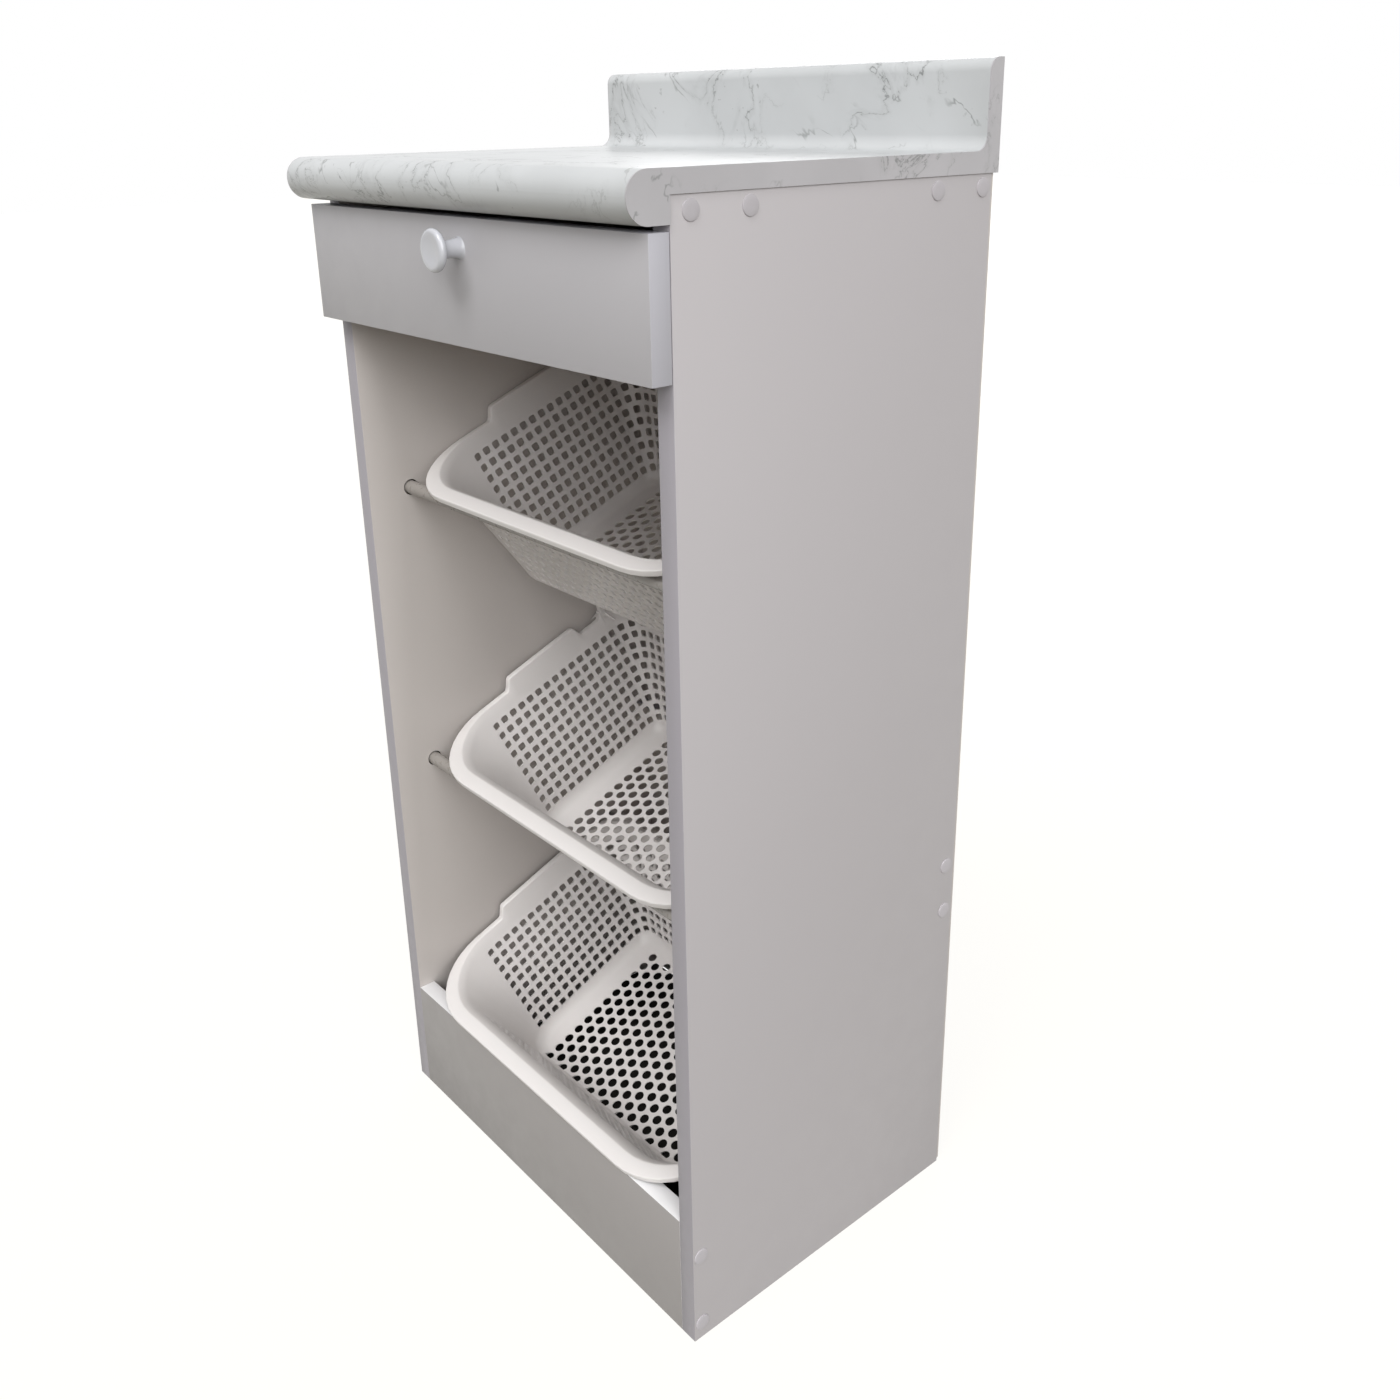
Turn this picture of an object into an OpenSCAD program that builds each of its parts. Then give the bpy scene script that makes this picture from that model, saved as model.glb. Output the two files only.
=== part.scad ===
// Narrow kitchen base cabinet with a marble-look worktop, one drawer on roller runners
// and three tilted plastic vegetable baskets that hang on rods and lift out.
// Millimetres. Pieces are worked from the middle of the carcass (x = 0), the front edges
// of the side panels (y = 0, +y to the wall) and the floor (z = 0), then shifted so that
// the middle of the outer box's bottom face is the origin.

/* [Carcass] */
// Outer width over the two side panels
carcass_w = 435; // [380:5:600]
// Depth of a side panel without the back panel
panel_d = 298.5; // [285:0.5:360]
// Height of the side panels, which is the underside of the worktop
panel_h = 885; // [875:1:960]
// Thickness of panels, rails, kickboard and drawer front
board_t = 16; // [15:0.5:18]
// Thickness of the nailed back panel
back_t = 3; // [2.5:0.1:5]
// Height of the kickboard
kick_h = 112; // [100:1:120]
// Width of the flat top rails, front to back
top_rail_w = 80; // [60:1:100]
// Height of the upright rail low at the back
low_rail_h = 73; // [60:1:90]
// How far that rail's lower edge lies below the front rim of the middle basket
low_rail_drop = 99.6; // [90:0.1:110]

/* [Worktop] */
// Thickness of the worktop slab
slab_t = 15; // [12:0.5:28]
// Height of the rounded front nose
nose_h = 32; // [28:0.5:34]
// Overhang of the nose in front of the side panels
nose_out = 32.5; // [20:0.5:45]
// Height of the upstand above the worktop surface
upstand_h = 62; // [40:1:90]
// Thickness of the upstand
upstand_t = 14; // [12:0.5:22]
// Overhang behind the back panel
back_out = 3; // [1:0.5:8]
// Radius of the cove between worktop and upstand
cove_r = 11; // [5:0.5:16]
// Radius of the upstand's top front edge
crest_r = 9; // [4:0.5:11]
// Overhang past the left side panel, end laminate included
left_out = 4; // [2:0.5:20]
// Overhang past the right side panel, end laminate included
right_out = 1; // [1:0.5:20]
// Thickness of the end laminates
laminate_t = 1; // [0.8:0.1:2]

/* [Drawer] */
// Height of the drawer front
front_h = 90; // [84:1:100]
// Gap between the worktop nose and the drawer front
front_gap = 4; // [2:0.5:8]
// Gap between the drawer front and the side panels' front edges
shut_gap = 0.5; // [0.4:0.1:3]
// Height of the drawer sides
side_h = 62; // [50:1:64]
// Thickness of the drawer sides and drawer back
side_t = 12; // [10:0.5:14]
// Length of the drawer sides, which is also the runner length
drawer_l = 250; // [230:5:260]
// Thickness of the drawer bottom
floor_t = 3; // [2.5:0.5:4]

/* [Knob] */
// Diameter of the knob disc
knob_d = 30; // [22:1:38]
// Thickness of the knob disc
knob_t = 6; // [5:0.5:8]
// Length of the knob stem
knob_stem = 17; // [12:0.5:24]
// Distance of the knob to the right of the carcass middle
knob_x = 7; // [-20:1:20]
// Distance of the knob axis below the drawer front's top edge
knob_drop = 21; // [18:1:50]

/* [Baskets] */
// Backward slope of the baskets, in degrees
tilt = 22; // [18:0.5:24]
// Clearance between a basket rim and each side panel
rim_gap = 6.5; // [3:0.5:10]
// Outer corner radius of the rim
rim_r = 72; // [60:1:80]
// Depth of a basket from rim to outer floor
basket_h = 134; // [110:1:140]
// Wall thickness of a basket
wall = 2; // [1.6:0.1:3]
// Width of the front flange
flange_w = 13.6; // [12.5:0.1:15]
// Width of the side flanges
side_flange_w = 6.3; // [5:0.1:8]
// Height of the raised grips on the side rims
grip_rise = 12; // [6:0.5:14]
// Height by which the rear of the rim is raised
rear_rise = 7; // [3:0.5:9]
// Height from the drawer front's lower edge down to the top basket's front rim
top_room = 144.4; // [130:0.1:170]
// Share of the height between bottom and top basket at which the middle one hangs
mid_share = 0.479; // [0.46:0.001:0.50]
// Diameter of the rods that carry the baskets
rod_d = 12; // [11:0.5:14]
// Depth of the blind rod holes in the side panels
socket = 8; // [6:0.5:10]

/* [Hidden] */
$fn = 96;
inner_w = carcass_w - 2 * board_t;
half = carcass_w / 2;
inner_x = inner_w / 2;
fit = 0.05;
rest = 0.3;
cut = 1;

// Worktop heights and depths
top_z = panel_h + slab_t;
nose_z = top_z - nose_h;
nose_r = nose_h / 2;
wall_y = panel_d + back_t + back_out;
upstand_y = wall_y - upstand_t;
crest_z = top_z + upstand_h;

// Drawer levels
front_z1 = nose_z - front_gap;
front_z0 = front_z1 - front_h;
face_y = -shut_gap - board_t;
box_rise = 12;
box_z = front_z0 + box_rise;
runner_space = 12.5;
side_x = inner_x - runner_space;
bottom_rise = 8;
bottom_z = box_z + bottom_rise;
groove = 5;
groove_fit = 0.15;
knob_z = front_z1 - knob_drop;
knob_y = face_y - knob_stem - knob_t;

// Roller runners: channel on the panel, angle on the drawer side
sheet = 1.2;
chan_drop = 3;
chan_z = box_z - chan_drop;
chan_in = 21.4;
chan_y = 4;
chan_gap = 2.4;
chan_reach = inner_x - runner_space + chan_gap;
roller_r = 8.7;
roller_w = 7;
roller_z = chan_z + rest + roller_r;
axle_r = 2;
axle_head_r = 3.5;
axle_head_t = 0.9;
axle_fit = 0.08;
roller_in = 14;
roller_back = 7;
chan_roller_y = chan_y + roller_in;
angle_roller_y = drawer_l - roller_back;
angle_z = roller_z + roller_r + rest;
angle_up = 24;
angle_reach = inner_x - 2;
angle_lip = 12;
side_gap = 0.9;
chan_roller_x = inner_x - sheet - side_gap - roller_w;
angle_roller_x = side_x + sheet + side_gap;

// Basket section in its own frame: y runs up the slope, z is square to the rim
rim_x = inner_x - rim_gap;
mouth_x = rim_x - side_flange_w;
side_draft = 0.2475;
rear_draft = 0.296;
shoulder_v = 22;
shoulder_w = 8;
front_v = 52;
plate = 1.8;
lip_t = 1.5;
lip_h = 5;
soft = 12;
rear_flange = 10;
rod_r = rod_d / 2;
rod_v = 12.5;
rod_w = 15.3;
rib_v0 = 7.6;
rib_v1 = 19;
rib_w = rod_w - rod_r - rest;
rib_t = 2;
rib_n = 5;
kick_clear = 0.6;

// Where the three baskets hang: rim front edge in y and z
low_y = -(lip_t * cos(tilt) + lip_h * sin(tilt)) - kick_clear;
low_z = kick_h + rest - rib_v0 * sin(tilt) + rib_w * cos(tilt);
mid_y = 22.4;
high_y = 23.7;
high_z = front_z0 - top_room;
mid_z = low_z + mid_share * (high_z - low_z);
low_rail_z = mid_z - low_rail_drop;

// Length of a basket: the middle one clears the low back rail
rail_clear = 1;
low_rail_y = panel_d - board_t;
foot_v = (low_rail_y - rail_clear - mid_y - basket_h * sin(tilt)) / cos(tilt);
mouth_v = foot_v + basket_h * rear_draft;
mouth_rear = mouth_v - wall;
mouth_r = rim_r - 5;
knee_r = 30;
floor_r = 20;
rim_l = mouth_v + rear_flange;
ramp = 9;
grip_v0 = 0.407 * rim_l;
grip_v1 = rim_l - rim_r - ramp - 1;
rear_v = 0.826 * rim_l;

// Rear rods sit under the rear flange
rear_rod_w = plate + rest + rod_r - rear_rise;
rod_clear = 0.7;
rear_rod_v = mouth_v + rod_r + rod_clear;

// Fasteners
screw_head_r = 5;
screw_r = 3.5;
thread_r = 2.5;
screw_l = 50;
screw_cone = 3;
hex_r = 2.3;
hex_l = 2.5;
cap_d = 13.5;
cap_t = 0.9;
cap_stub_r = 1.7;
cap_stub_l = 2;
screw_offset = 1.5;
top_screw_z = panel_h - board_t / 2 - screw_offset;
low_screw_y = low_rail_y + 0.375 * board_t;
kick_screws = [0.14 * kick_h, 0.75 * kick_h];
rail_screws = [0.2 * top_rail_w, 0.8 * top_rail_w];
rear_rail_screws = [panel_d - 0.73 * top_rail_w, panel_d - 0.12 * top_rail_w];
low_rail_screws = [low_rail_z + 0.2 * low_rail_h, low_rail_z + 0.8 * low_rail_h];
panel_screws = concat(
    [for (z = kick_screws) [board_t / 2, z]],
    [for (y = rail_screws) [y, top_screw_z]],
    [for (y = rear_rail_screws) [y, top_screw_z]],
    [for (z = low_rail_screws) [low_screw_y, z]]);
pin_r = 2;
runner_pin_r = pin_r - 0.2;
pin_head_r = 4;
pin_head_t = 2;
top_pin_l = board_t + 8;
top_pin_x = 0.3 * inner_w;
top_pins = [top_rail_w / 2, panel_d - top_rail_w / 2];
nail_r = 0.75;
nail_l = 14;
nail_head_r = 2.5;
nail_head_t = 0.8;
nail_n = 5;
nail_edge = 50;
nail_x = half - board_t / 2;
flat_head_r = 3.2;
flat_head_t = 0.55;
runner_screw_l = 11;
runner_screw_y = [chan_y + 0.22 * drawer_l, chan_y + 0.88 * drawer_l];
angle_screw_l = 9;
angle_screw_z = box_z + angle_up - 4;
angle_screw_r = 2.5;
angle_screw_y = [0.16 * drawer_l, 0.84 * drawer_l];
block = 18;
block_h = 26;
block_rise = 3;
block_z = bottom_z + floor_t + block_rise;
block_screw_l = 27;
side_screw_l = 26;
dish_r = 60;
dish_deep = 1;
knob_foot_r = 8;
knob_waist_r = 6.2;
knob_neck_r = 9;
knob_overlap = 0.5;
knob_screw_r = 2;
knob_screw_in = 12;

shift_x = (right_out - left_out) / 2;
shift_y = (wall_y + knob_y) / 2;

white_board = [0.90, 0.89, 0.89];
marble = [0.86, 0.87, 0.87];
white_plastic = [0.94, 0.94, 0.95];
white_steel = [0.88, 0.88, 0.88];
zinc = [0.72, 0.73, 0.75];
hardboard = [0.80, 0.79, 0.77];

// Shift from the carcass frame to the frame of the whole part
module placed() {
    translate([-shift_x, -shift_y, 0]) children();
}

// The left-hand copy of a right-hand piece
module left() {
    mirror([1, 0, 0]) children();
}

module both() {
    children();
    left() children();
}

// From a right side panel's outer face inwards, along -x
module inward(x, y, z) {
    translate([x, y, z]) rotate([0, -90, 0]) children();
}

// Rod centre of a basket that hangs at y, z
function rod_at(y, z, v, w) = [y + v * cos(tilt) + w * sin(tilt), z + v * sin(tilt) - w * cos(tilt)];

front_rods = [rod_at(high_y, high_z, rod_v, rod_w), rod_at(mid_y, mid_z, rod_v, rod_w)];
rear_rods = [
    rod_at(high_y, high_z, rear_rod_v, rear_rod_w),
    rod_at(mid_y, mid_z, rear_rod_v, rear_rod_w),
    rod_at(low_y, low_z, rear_rod_v, rear_rod_w)];

// Countersunk joint screw pointing up +z, its head flush at z = 0
module joint_screw(play = 0) {
    cylinder(h = screw_cone, r1 = screw_head_r + play, r2 = screw_r + play);
    cylinder(h = board_t, r = screw_r + play);
    cylinder(h = screw_l, r = thread_r + play);
}

module right_joint_screws(play = 0) {
    for (p = panel_screws) inward(half, p[0], p[1]) joint_screw(play);
}

module side_panel() {
    difference() {
        translate([inner_x, 0, 0]) cube([board_t, panel_d, panel_h]);
        right_joint_screws(fit);
        for (p = concat(front_rods, rear_rods))
            translate([inner_x - cut, p[0], p[1]]) rotate([0, 90, 0]) cylinder(h = socket + cut, r = rod_r + fit);
        for (y = runner_screw_y)
            translate([inner_x - cut, y, roller_z]) rotate([0, 90, 0]) cylinder(h = runner_screw_l + cut, r = runner_pin_r + fit);
        nails(fit);
    }
}

// A board between the side panels, with the joint screws' holes in its ends
module between(y, z, d, h) {
    difference() {
        translate([-inner_x, y, z]) cube([inner_w, d, h]);
        both() right_joint_screws(fit);
        children();
    }
}

module top_pin(play = 0) {
    cylinder(h = pin_head_t + play, r1 = pin_head_r + play, r2 = pin_r + play);
    cylinder(h = top_pin_l, r = pin_r + play);
}

module top_pins(play = 0) {
    for (y = top_pins)
        both() translate([top_pin_x, y, panel_h - board_t]) top_pin(play);
}

module nails(play = 0) {
    for (i = [0 : nail_n - 1])
        translate([nail_x, panel_d + back_t, nail_edge + i * (panel_h - 2 * nail_edge) / (nail_n - 1)])
            rotate([90, 0, 0]) cylinder(h = nail_l, r = nail_r + play);
}

// Section of the worktop: 2D x is depth, 2D y is height
module worktop_section() {
    difference() {
        union() {
            translate([-nose_out + nose_r, panel_h]) square([wall_y + nose_out - nose_r, slab_t]);
            translate([-nose_out + nose_r, nose_z]) square([nose_out - nose_r, nose_h]);
            translate([-nose_out + nose_r, nose_z + nose_r]) circle(r = nose_r);
            translate([upstand_y, panel_h]) square([upstand_t, slab_t + upstand_h]);
            translate([upstand_y - cove_r, top_z - cut]) square([cove_r + cut, cove_r + cut]);
        }
        translate([upstand_y - cove_r, top_z + cove_r]) circle(r = cove_r);
        difference() {
            translate([upstand_y - cut, crest_z - crest_r]) square([crest_r + cut, crest_r + cut]);
            translate([upstand_y + crest_r, crest_z - crest_r]) circle(r = crest_r);
        }
    }
}

// The section stretched along x from x0 for a length l
module along_x(x0, l) {
    translate([x0, 0, 0]) rotate([90, 0, 90]) linear_extrude(height = l) children();
}

module worktop_core() {
    difference() {
        along_x(-half - left_out + laminate_t, carcass_w + left_out + right_out - 2 * laminate_t)
            worktop_section();
        top_pins(fit);
    }
}

module rod(p) {
    l = inner_w + 2 * (socket - 0.2);
    translate([-l / 2, p[0], p[1]]) rotate([0, 90, 0]) cylinder(h = l, r = rod_r);
}

// Headed axle of a runner roller, standing on a sheet at z = 0
module axle() {
    cylinder(h = roller_w + 2 * side_gap, r = axle_r);
    translate([0, 0, roller_w + 2 * side_gap]) cylinder(h = axle_head_t, r = axle_head_r);
}

module roller() {
    difference() {
        cylinder(h = roller_w, r = roller_r);
        translate([0, 0, -cut]) cylinder(h = roller_w + 2 * cut, r = axle_r + axle_fit);
    }
}

module cabinet_runner() {
    difference() {
        union() {
            translate([inner_x - sheet, chan_y, chan_z - sheet]) cube([sheet, drawer_l, chan_in + 2 * sheet]);
            for (z = [chan_z - sheet, chan_z + chan_in])
                translate([chan_reach, chan_y, z]) cube([inner_x - chan_reach, drawer_l, sheet]);
        }
        for (y = runner_screw_y)
            inward(inner_x, y, roller_z) flush_head(fit);
    }
    inward(inner_x - sheet, chan_roller_y, roller_z) axle();
}

// Countersunk head that lies flush in a sheet standing on z = 0
module flush_head(play = 0) {
    translate([0, 0, -play]) cylinder(h = sheet + 2 * play, r1 = runner_pin_r + play, r2 = flat_head_r + play);
}

module runner_screw_right() {
    for (y = runner_screw_y)
        inward(inner_x, y, roller_z) {
            flush_head();
            translate([0, 0, -runner_screw_l]) cylinder(h = runner_screw_l, r = runner_pin_r);
        }
}

module drawer_runner() {
    difference() {
        union() {
            translate([side_x, -shut_gap, box_z - sheet]) cube([sheet, drawer_l, angle_up + sheet]);
            translate([side_x - angle_lip, -shut_gap, box_z - sheet]) cube([angle_lip + sheet, drawer_l, sheet]);
            translate([side_x, -shut_gap, angle_z]) cube([angle_reach - side_x, drawer_l, sheet]);
        }
        drawer_runner_screw_right(fit);
    }
    translate([side_x + sheet, angle_roller_y, roller_z]) rotate([0, 90, 0]) axle();
}

module drawer_runner_screw_right(play = 0) {
    for (y = angle_screw_y)
        inward(side_x + sheet + flat_head_t, y, angle_screw_z) {
            if (play == 0) cylinder(h = flat_head_t, r = angle_screw_r);
            cylinder(h = angle_screw_l + flat_head_t, r = pin_r - 0.5 + play);
        }
}

// Screws from the outside of a drawer side into the end of the drawer back
module side_screws(play = 0) {
    for (z = [box_z + 0.48 * side_h, box_z + 0.77 * side_h])
        inward(side_x, drawer_l - shut_gap - side_t / 2, z) {
            cylinder(h = pin_head_t, r1 = pin_head_r + play, r2 = pin_r + play);
            cylinder(h = side_screw_l, r = pin_r + play);
        }
}

// One screw through each corner block into the drawer front, one into the drawer side
module block_screws(play = 0) {
    y = -shut_gap + block;
    x = side_x - side_t - block;
    translate([x + block / 3, y, block_z + 0.27 * block_h]) rotate([90, 0, 0]) {
        cylinder(h = block_screw_l, r = pin_r - 0.25 + play);
        translate([0, 0, -pin_head_t]) cylinder(h = pin_head_t, r = pin_head_r - 0.5);
    }
    translate([x, y - block / 3, block_z + 0.73 * block_h]) rotate([0, 90, 0]) {
        cylinder(h = block_screw_l, r = pin_r - 0.25 + play);
        translate([0, 0, -pin_head_t]) cylinder(h = pin_head_t, r = pin_head_r - 0.5);
    }
}

module drawer_side() {
    difference() {
        translate([side_x - side_t, -shut_gap, box_z]) cube([side_t, drawer_l, side_h]);
        translate([side_x - side_t - cut, -shut_gap - cut, bottom_z - groove_fit])
            cube([groove + cut, drawer_l + 2 * cut, floor_t + 2 * groove_fit]);
        drawer_runner_screw_right(fit);
        side_screws(fit);
        block_screws(fit);
    }
}

module front_board() {
    difference() {
        translate([-half, face_y, front_z0]) cube([carcass_w, board_t, front_h]);
        translate([-side_x + side_t - groove, -shut_gap - groove, bottom_z - groove_fit])
            cube([2 * (side_x - side_t + groove), groove + cut, floor_t + 2 * groove_fit]);
        both() block_screws(fit);
        translate([knob_x, 0, knob_z]) rotate([90, 0, 0]) cylinder(h = board_t + shut_gap + cut, r = knob_screw_r + 0.3);
    }
}

module bottom_board() {
    w = 2 * (side_x - side_t + groove - groove_fit);
    translate([-w / 2, -shut_gap - groove + groove_fit, bottom_z])
        cube([w, drawer_l + groove - groove_fit, floor_t]);
}

module back_board() {
    z = bottom_z + floor_t;
    difference() {
        translate([-side_x + side_t, drawer_l - shut_gap - side_t, z])
            cube([2 * (side_x - side_t), side_t, box_z + side_h - z]);
        both() side_screws(fit);
    }
}

module knob_body() {
    edge = knob_t / 2;
    translate([knob_x, face_y, knob_z]) rotate([90, 0, 0]) difference() {
        rotate_extrude() {
            polygon([[0, 0], [knob_foot_r, 0], [knob_waist_r, 0.45 * knob_stem], [knob_waist_r, 0.8 * knob_stem],
                [knob_neck_r, knob_stem + knob_overlap], [0, knob_stem + knob_overlap]]);
            translate([0, knob_stem]) square([knob_d / 2 - edge, knob_t]);
            translate([knob_d / 2 - edge, knob_stem + edge]) circle(r = edge);
        }
        translate([0, 0, knob_stem + knob_t + dish_r - dish_deep]) sphere(r = dish_r);
        translate([0, 0, -cut]) cylinder(h = knob_screw_in + cut, r = knob_screw_r + fit);
    }
}

module knob_screw_body() {
    translate([knob_x, 0, knob_z]) rotate([90, 0, 0]) {
        translate([0, 0, shut_gap - pin_head_t]) cylinder(h = pin_head_t, r = pin_head_r);
        translate([0, 0, shut_gap]) cylinder(h = board_t + knob_screw_in, r = knob_screw_r);
    }
}

// Rounded rectangle from -x to x and from v0 to v1, s thick, its top face at w
module slice(x, v0, v1, r, w, s = 1) {
    translate([0, 0, w - s]) linear_extrude(height = s) {
        translate([-x + r, v0]) square([2 * (x - r), v1 - v0]);
        translate([-x, v0 + r]) square([2 * x, v1 - v0 - 2 * r]);
        for (a = [-x + r, x - r]) for (b = [v0 + r, v1 - r])
            translate([a, b]) circle(r = r, $fn = 48);
    }
}

// One level of the bowl at depth w, grown by g past the inner faces
module level(w, v0, v1, pinch, r, g) {
    x = mouth_x - w * side_draft - pinch;
    slice(x + g, v0 - g, v1 + g, r + g, -w);
}

// The bowl down to a floor face at -depth: its inner faces grown by g
module bowl(g, depth) {
    knee = basket_h - wall - soft;
    hull() {
        level(0, flange_w, mouth_rear, 0, mouth_r, g);
        level(shoulder_w, shoulder_v, mouth_rear - shoulder_w * rear_draft, 0, mouth_r - 4, g);
    }
    hull() {
        level(shoulder_w, shoulder_v, mouth_rear - shoulder_w * rear_draft, 0, mouth_r - 4, g);
        level(knee, front_v, mouth_rear - knee * rear_draft, 0, knee_r, g);
    }
    hull() {
        level(knee, front_v, mouth_rear - knee * rear_draft, 0, knee_r, g);
        level(depth - 1, front_v + soft, mouth_rear - knee * rear_draft - soft, soft - 3, floor_r, g);
    }
}

// The mouth's outline grown by g, from height w0 to w1
module mouth(g, w0, w1) {
    slice(mouth_x + g, flange_w - g, mouth_rear + g, mouth_r + g, w1, w1 - w0);
}

// Flange plate with its top face at w
module flange_plate(w) {
    difference() {
        slice(rim_x, 0, rim_l, rim_r, w, plate);
        mouth(0.5, w - 2 * plate, w + cut);
    }
}

module lip() {
    difference() {
        slice(rim_x, 0, rim_l, rim_r, 0, lip_h);
        slice(rim_x - lip_t, lip_t, rim_l - lip_t, rim_r - lip_t, cut, lip_h + 2 * cut);
    }
}

// Outline of one side grip, t high, with sloping ends
module grip_band(t) {
    p = [[grip_v0 - ramp, 0], [grip_v0, grip_rise], [grip_v1, grip_rise], [grip_v1 + ramp, 0]];
    polygon(concat(p, [for (i = [3 : -1 : 0]) p[i] - [0, t]]));
}

// The band stretched along x from x0 for a length l
module band_along_x(x0, l, t) {
    translate([x0, 0, 0]) rotate([90, 0, 90]) linear_extrude(height = l) grip_band(t);
}

module grip() {
    band_along_x(mouth_x, side_flange_w, plate);
    band_along_x(rim_x - lip_t, lip_t, lip_h);
    translate([mouth_x, 0, 0]) rotate([90, 0, 90]) linear_extrude(height = wall)
        polygon([[grip_v0 - ramp, -plate], [grip_v0 - ramp, 0], [grip_v0, grip_rise],
            [grip_v1, grip_rise], [grip_v1 + ramp, 0], [grip_v1 + ramp, -plate]]);
}

// Everything behind the notch in the rim, from height w0 upwards
module rear_zone(w0) {
    translate([-rim_x - cut, rear_v, w0]) cube([2 * rim_x + 2 * cut, rim_l, 3 * basket_h]);
}

module basket_body() {
    difference() {
        union() {
            bowl(wall, basket_h);
            difference() {
                union() {
                    flange_plate(0);
                    lip();
                }
                both() translate([mouth_x + wall + 0.4, grip_v0 - ramp, -lip_h - cut])
                    cube([side_flange_w + cut, grip_v1 - grip_v0 + 2 * ramp, lip_h + 2 * cut]);
                rear_zone(-lip_h - cut);
            }
            intersection() {
                union() {
                    flange_plate(rear_rise);
                    mouth(wall, -plate, rear_rise);
                }
                rear_zone(-plate - cut);
            }
            both() grip();
            ribs();
        }
        bowl(0, basket_h - wall);
        mouth(0, -0.5, grip_rise + cut);
    }
}

// Ribs under the front flange: the basket rests by them on its rod or on the kickboard
module ribs() {
    for (i = [0 : rib_n - 1])
        translate([(i / (rib_n - 1) - 0.5) * 1.2 * mouth_x - rib_t / 2, rib_v0, -rib_w])
            cube([rib_t, rib_v1 - rib_v0, rib_w - plate + 0.5]);
}

module basket(y, z) {
    color(white_plastic) placed() translate([0, y, z]) rotate([tilt, 0, 0]) basket_body();
}

module side_panel_left() color(white_board) placed() left() side_panel();
module side_panel_right() color(white_board) placed() side_panel();
module worktop() color(marble) placed() worktop_core();
module worktop_end_left() color(marble) placed() along_x(-half - left_out, laminate_t) worktop_section();
module worktop_end_right() color(marble) placed() along_x(half + right_out - laminate_t, laminate_t) worktop_section();
module kickboard() color(white_board) placed() between(0, 0, board_t, kick_h);
module top_rail_front() color(white_board) placed() between(0, panel_h - board_t, top_rail_w, board_t) top_pins(fit);
module top_rail_rear() color(white_board) placed()
    between(panel_d - top_rail_w, panel_h - board_t, top_rail_w, board_t) top_pins(fit);
module low_rail_rear() color(white_board) placed() between(low_rail_y, low_rail_z, board_t, low_rail_h);
module back_panel() color(hardboard) placed() difference() {
    translate([-half + 1, panel_d, 2]) cube([carcass_w - 2, back_t, panel_h - 2]);
    both() nails(fit);
}
module front_rod_upper() color(white_steel) placed() rod(front_rods[0]);
module front_rod_middle() color(white_steel) placed() rod(front_rods[1]);
module rear_rod_upper() color(white_steel) placed() rod(rear_rods[0]);
module rear_rod_middle() color(white_steel) placed() rod(rear_rods[1]);
module rear_rod_lower() color(white_steel) placed() rod(rear_rods[2]);
module cabinet_runner_left() color(white_steel) placed() left() cabinet_runner();
module cabinet_runner_right() color(white_steel) placed() cabinet_runner();
module cover_caps() color(white_plastic) placed() both()
    for (p = panel_screws) inward(half + cap_t, p[0], p[1]) {
        cylinder(h = cap_t, r1 = cap_d / 2 - 0.5, r2 = cap_d / 2);
        cylinder(h = cap_t + cap_stub_l, r = cap_stub_r);
    }
module carcass_screws() color(zinc) placed() both() difference() {
    right_joint_screws();
    for (p = panel_screws) inward(half + cut, p[0], p[1]) cylinder(h = hex_l + cut, r = hex_r, $fn = 6);
}
module worktop_screws() color(zinc) placed() top_pins();
module runner_screws() color(zinc) placed() both() runner_screw_right();
module back_panel_nails() color(zinc) placed() both() {
    nails();
    for (i = [0 : nail_n - 1])
        translate([nail_x, panel_d + back_t, nail_edge + i * (panel_h - 2 * nail_edge) / (nail_n - 1)])
            rotate([-90, 0, 0]) cylinder(h = nail_head_t, r = nail_head_r);
}
module cabinet_roller_right() color(white_plastic) placed()
    translate([chan_roller_x, chan_roller_y, roller_z]) rotate([0, 90, 0]) roller();
module cabinet_roller_left() color(white_plastic) placed()
    left() translate([chan_roller_x, chan_roller_y, roller_z]) rotate([0, 90, 0]) roller();
module drawer_front() color(white_board) placed() front_board();
module drawer_side_left() color(white_board) placed() left() drawer_side();
module drawer_side_right() color(white_board) placed() drawer_side();
module drawer_back() color(white_board) placed() back_board();
module drawer_bottom() color(hardboard) placed() bottom_board();
module drawer_runner_left() color(white_steel) placed() left() drawer_runner();
module drawer_runner_right() color(white_steel) placed() drawer_runner();
module drawer_roller_right() color(white_plastic) placed()
    translate([angle_roller_x, angle_roller_y, roller_z]) rotate([0, 90, 0]) roller();
module drawer_roller_left() color(white_plastic) placed()
    left() translate([angle_roller_x, angle_roller_y, roller_z]) rotate([0, 90, 0]) roller();
module corner_blocks() color(white_plastic) placed() both() difference() {
    translate([side_x - side_t - block, -shut_gap, block_z]) cube([block, block, block_h]);
    block_screws(fit);
}
module corner_block_screws() color(zinc) placed() both() block_screws();
module drawer_side_screws() color(zinc) placed() both() side_screws();
module drawer_runner_screws() color(zinc) placed() both() drawer_runner_screw_right();
module knob() color(white_plastic) placed() knob_body();
module knob_screw() color(zinc) placed() knob_screw_body();
module basket_top() basket(high_y, high_z);
module basket_middle() basket(mid_y, mid_z);
module basket_bottom() basket(low_y, low_z);

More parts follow.
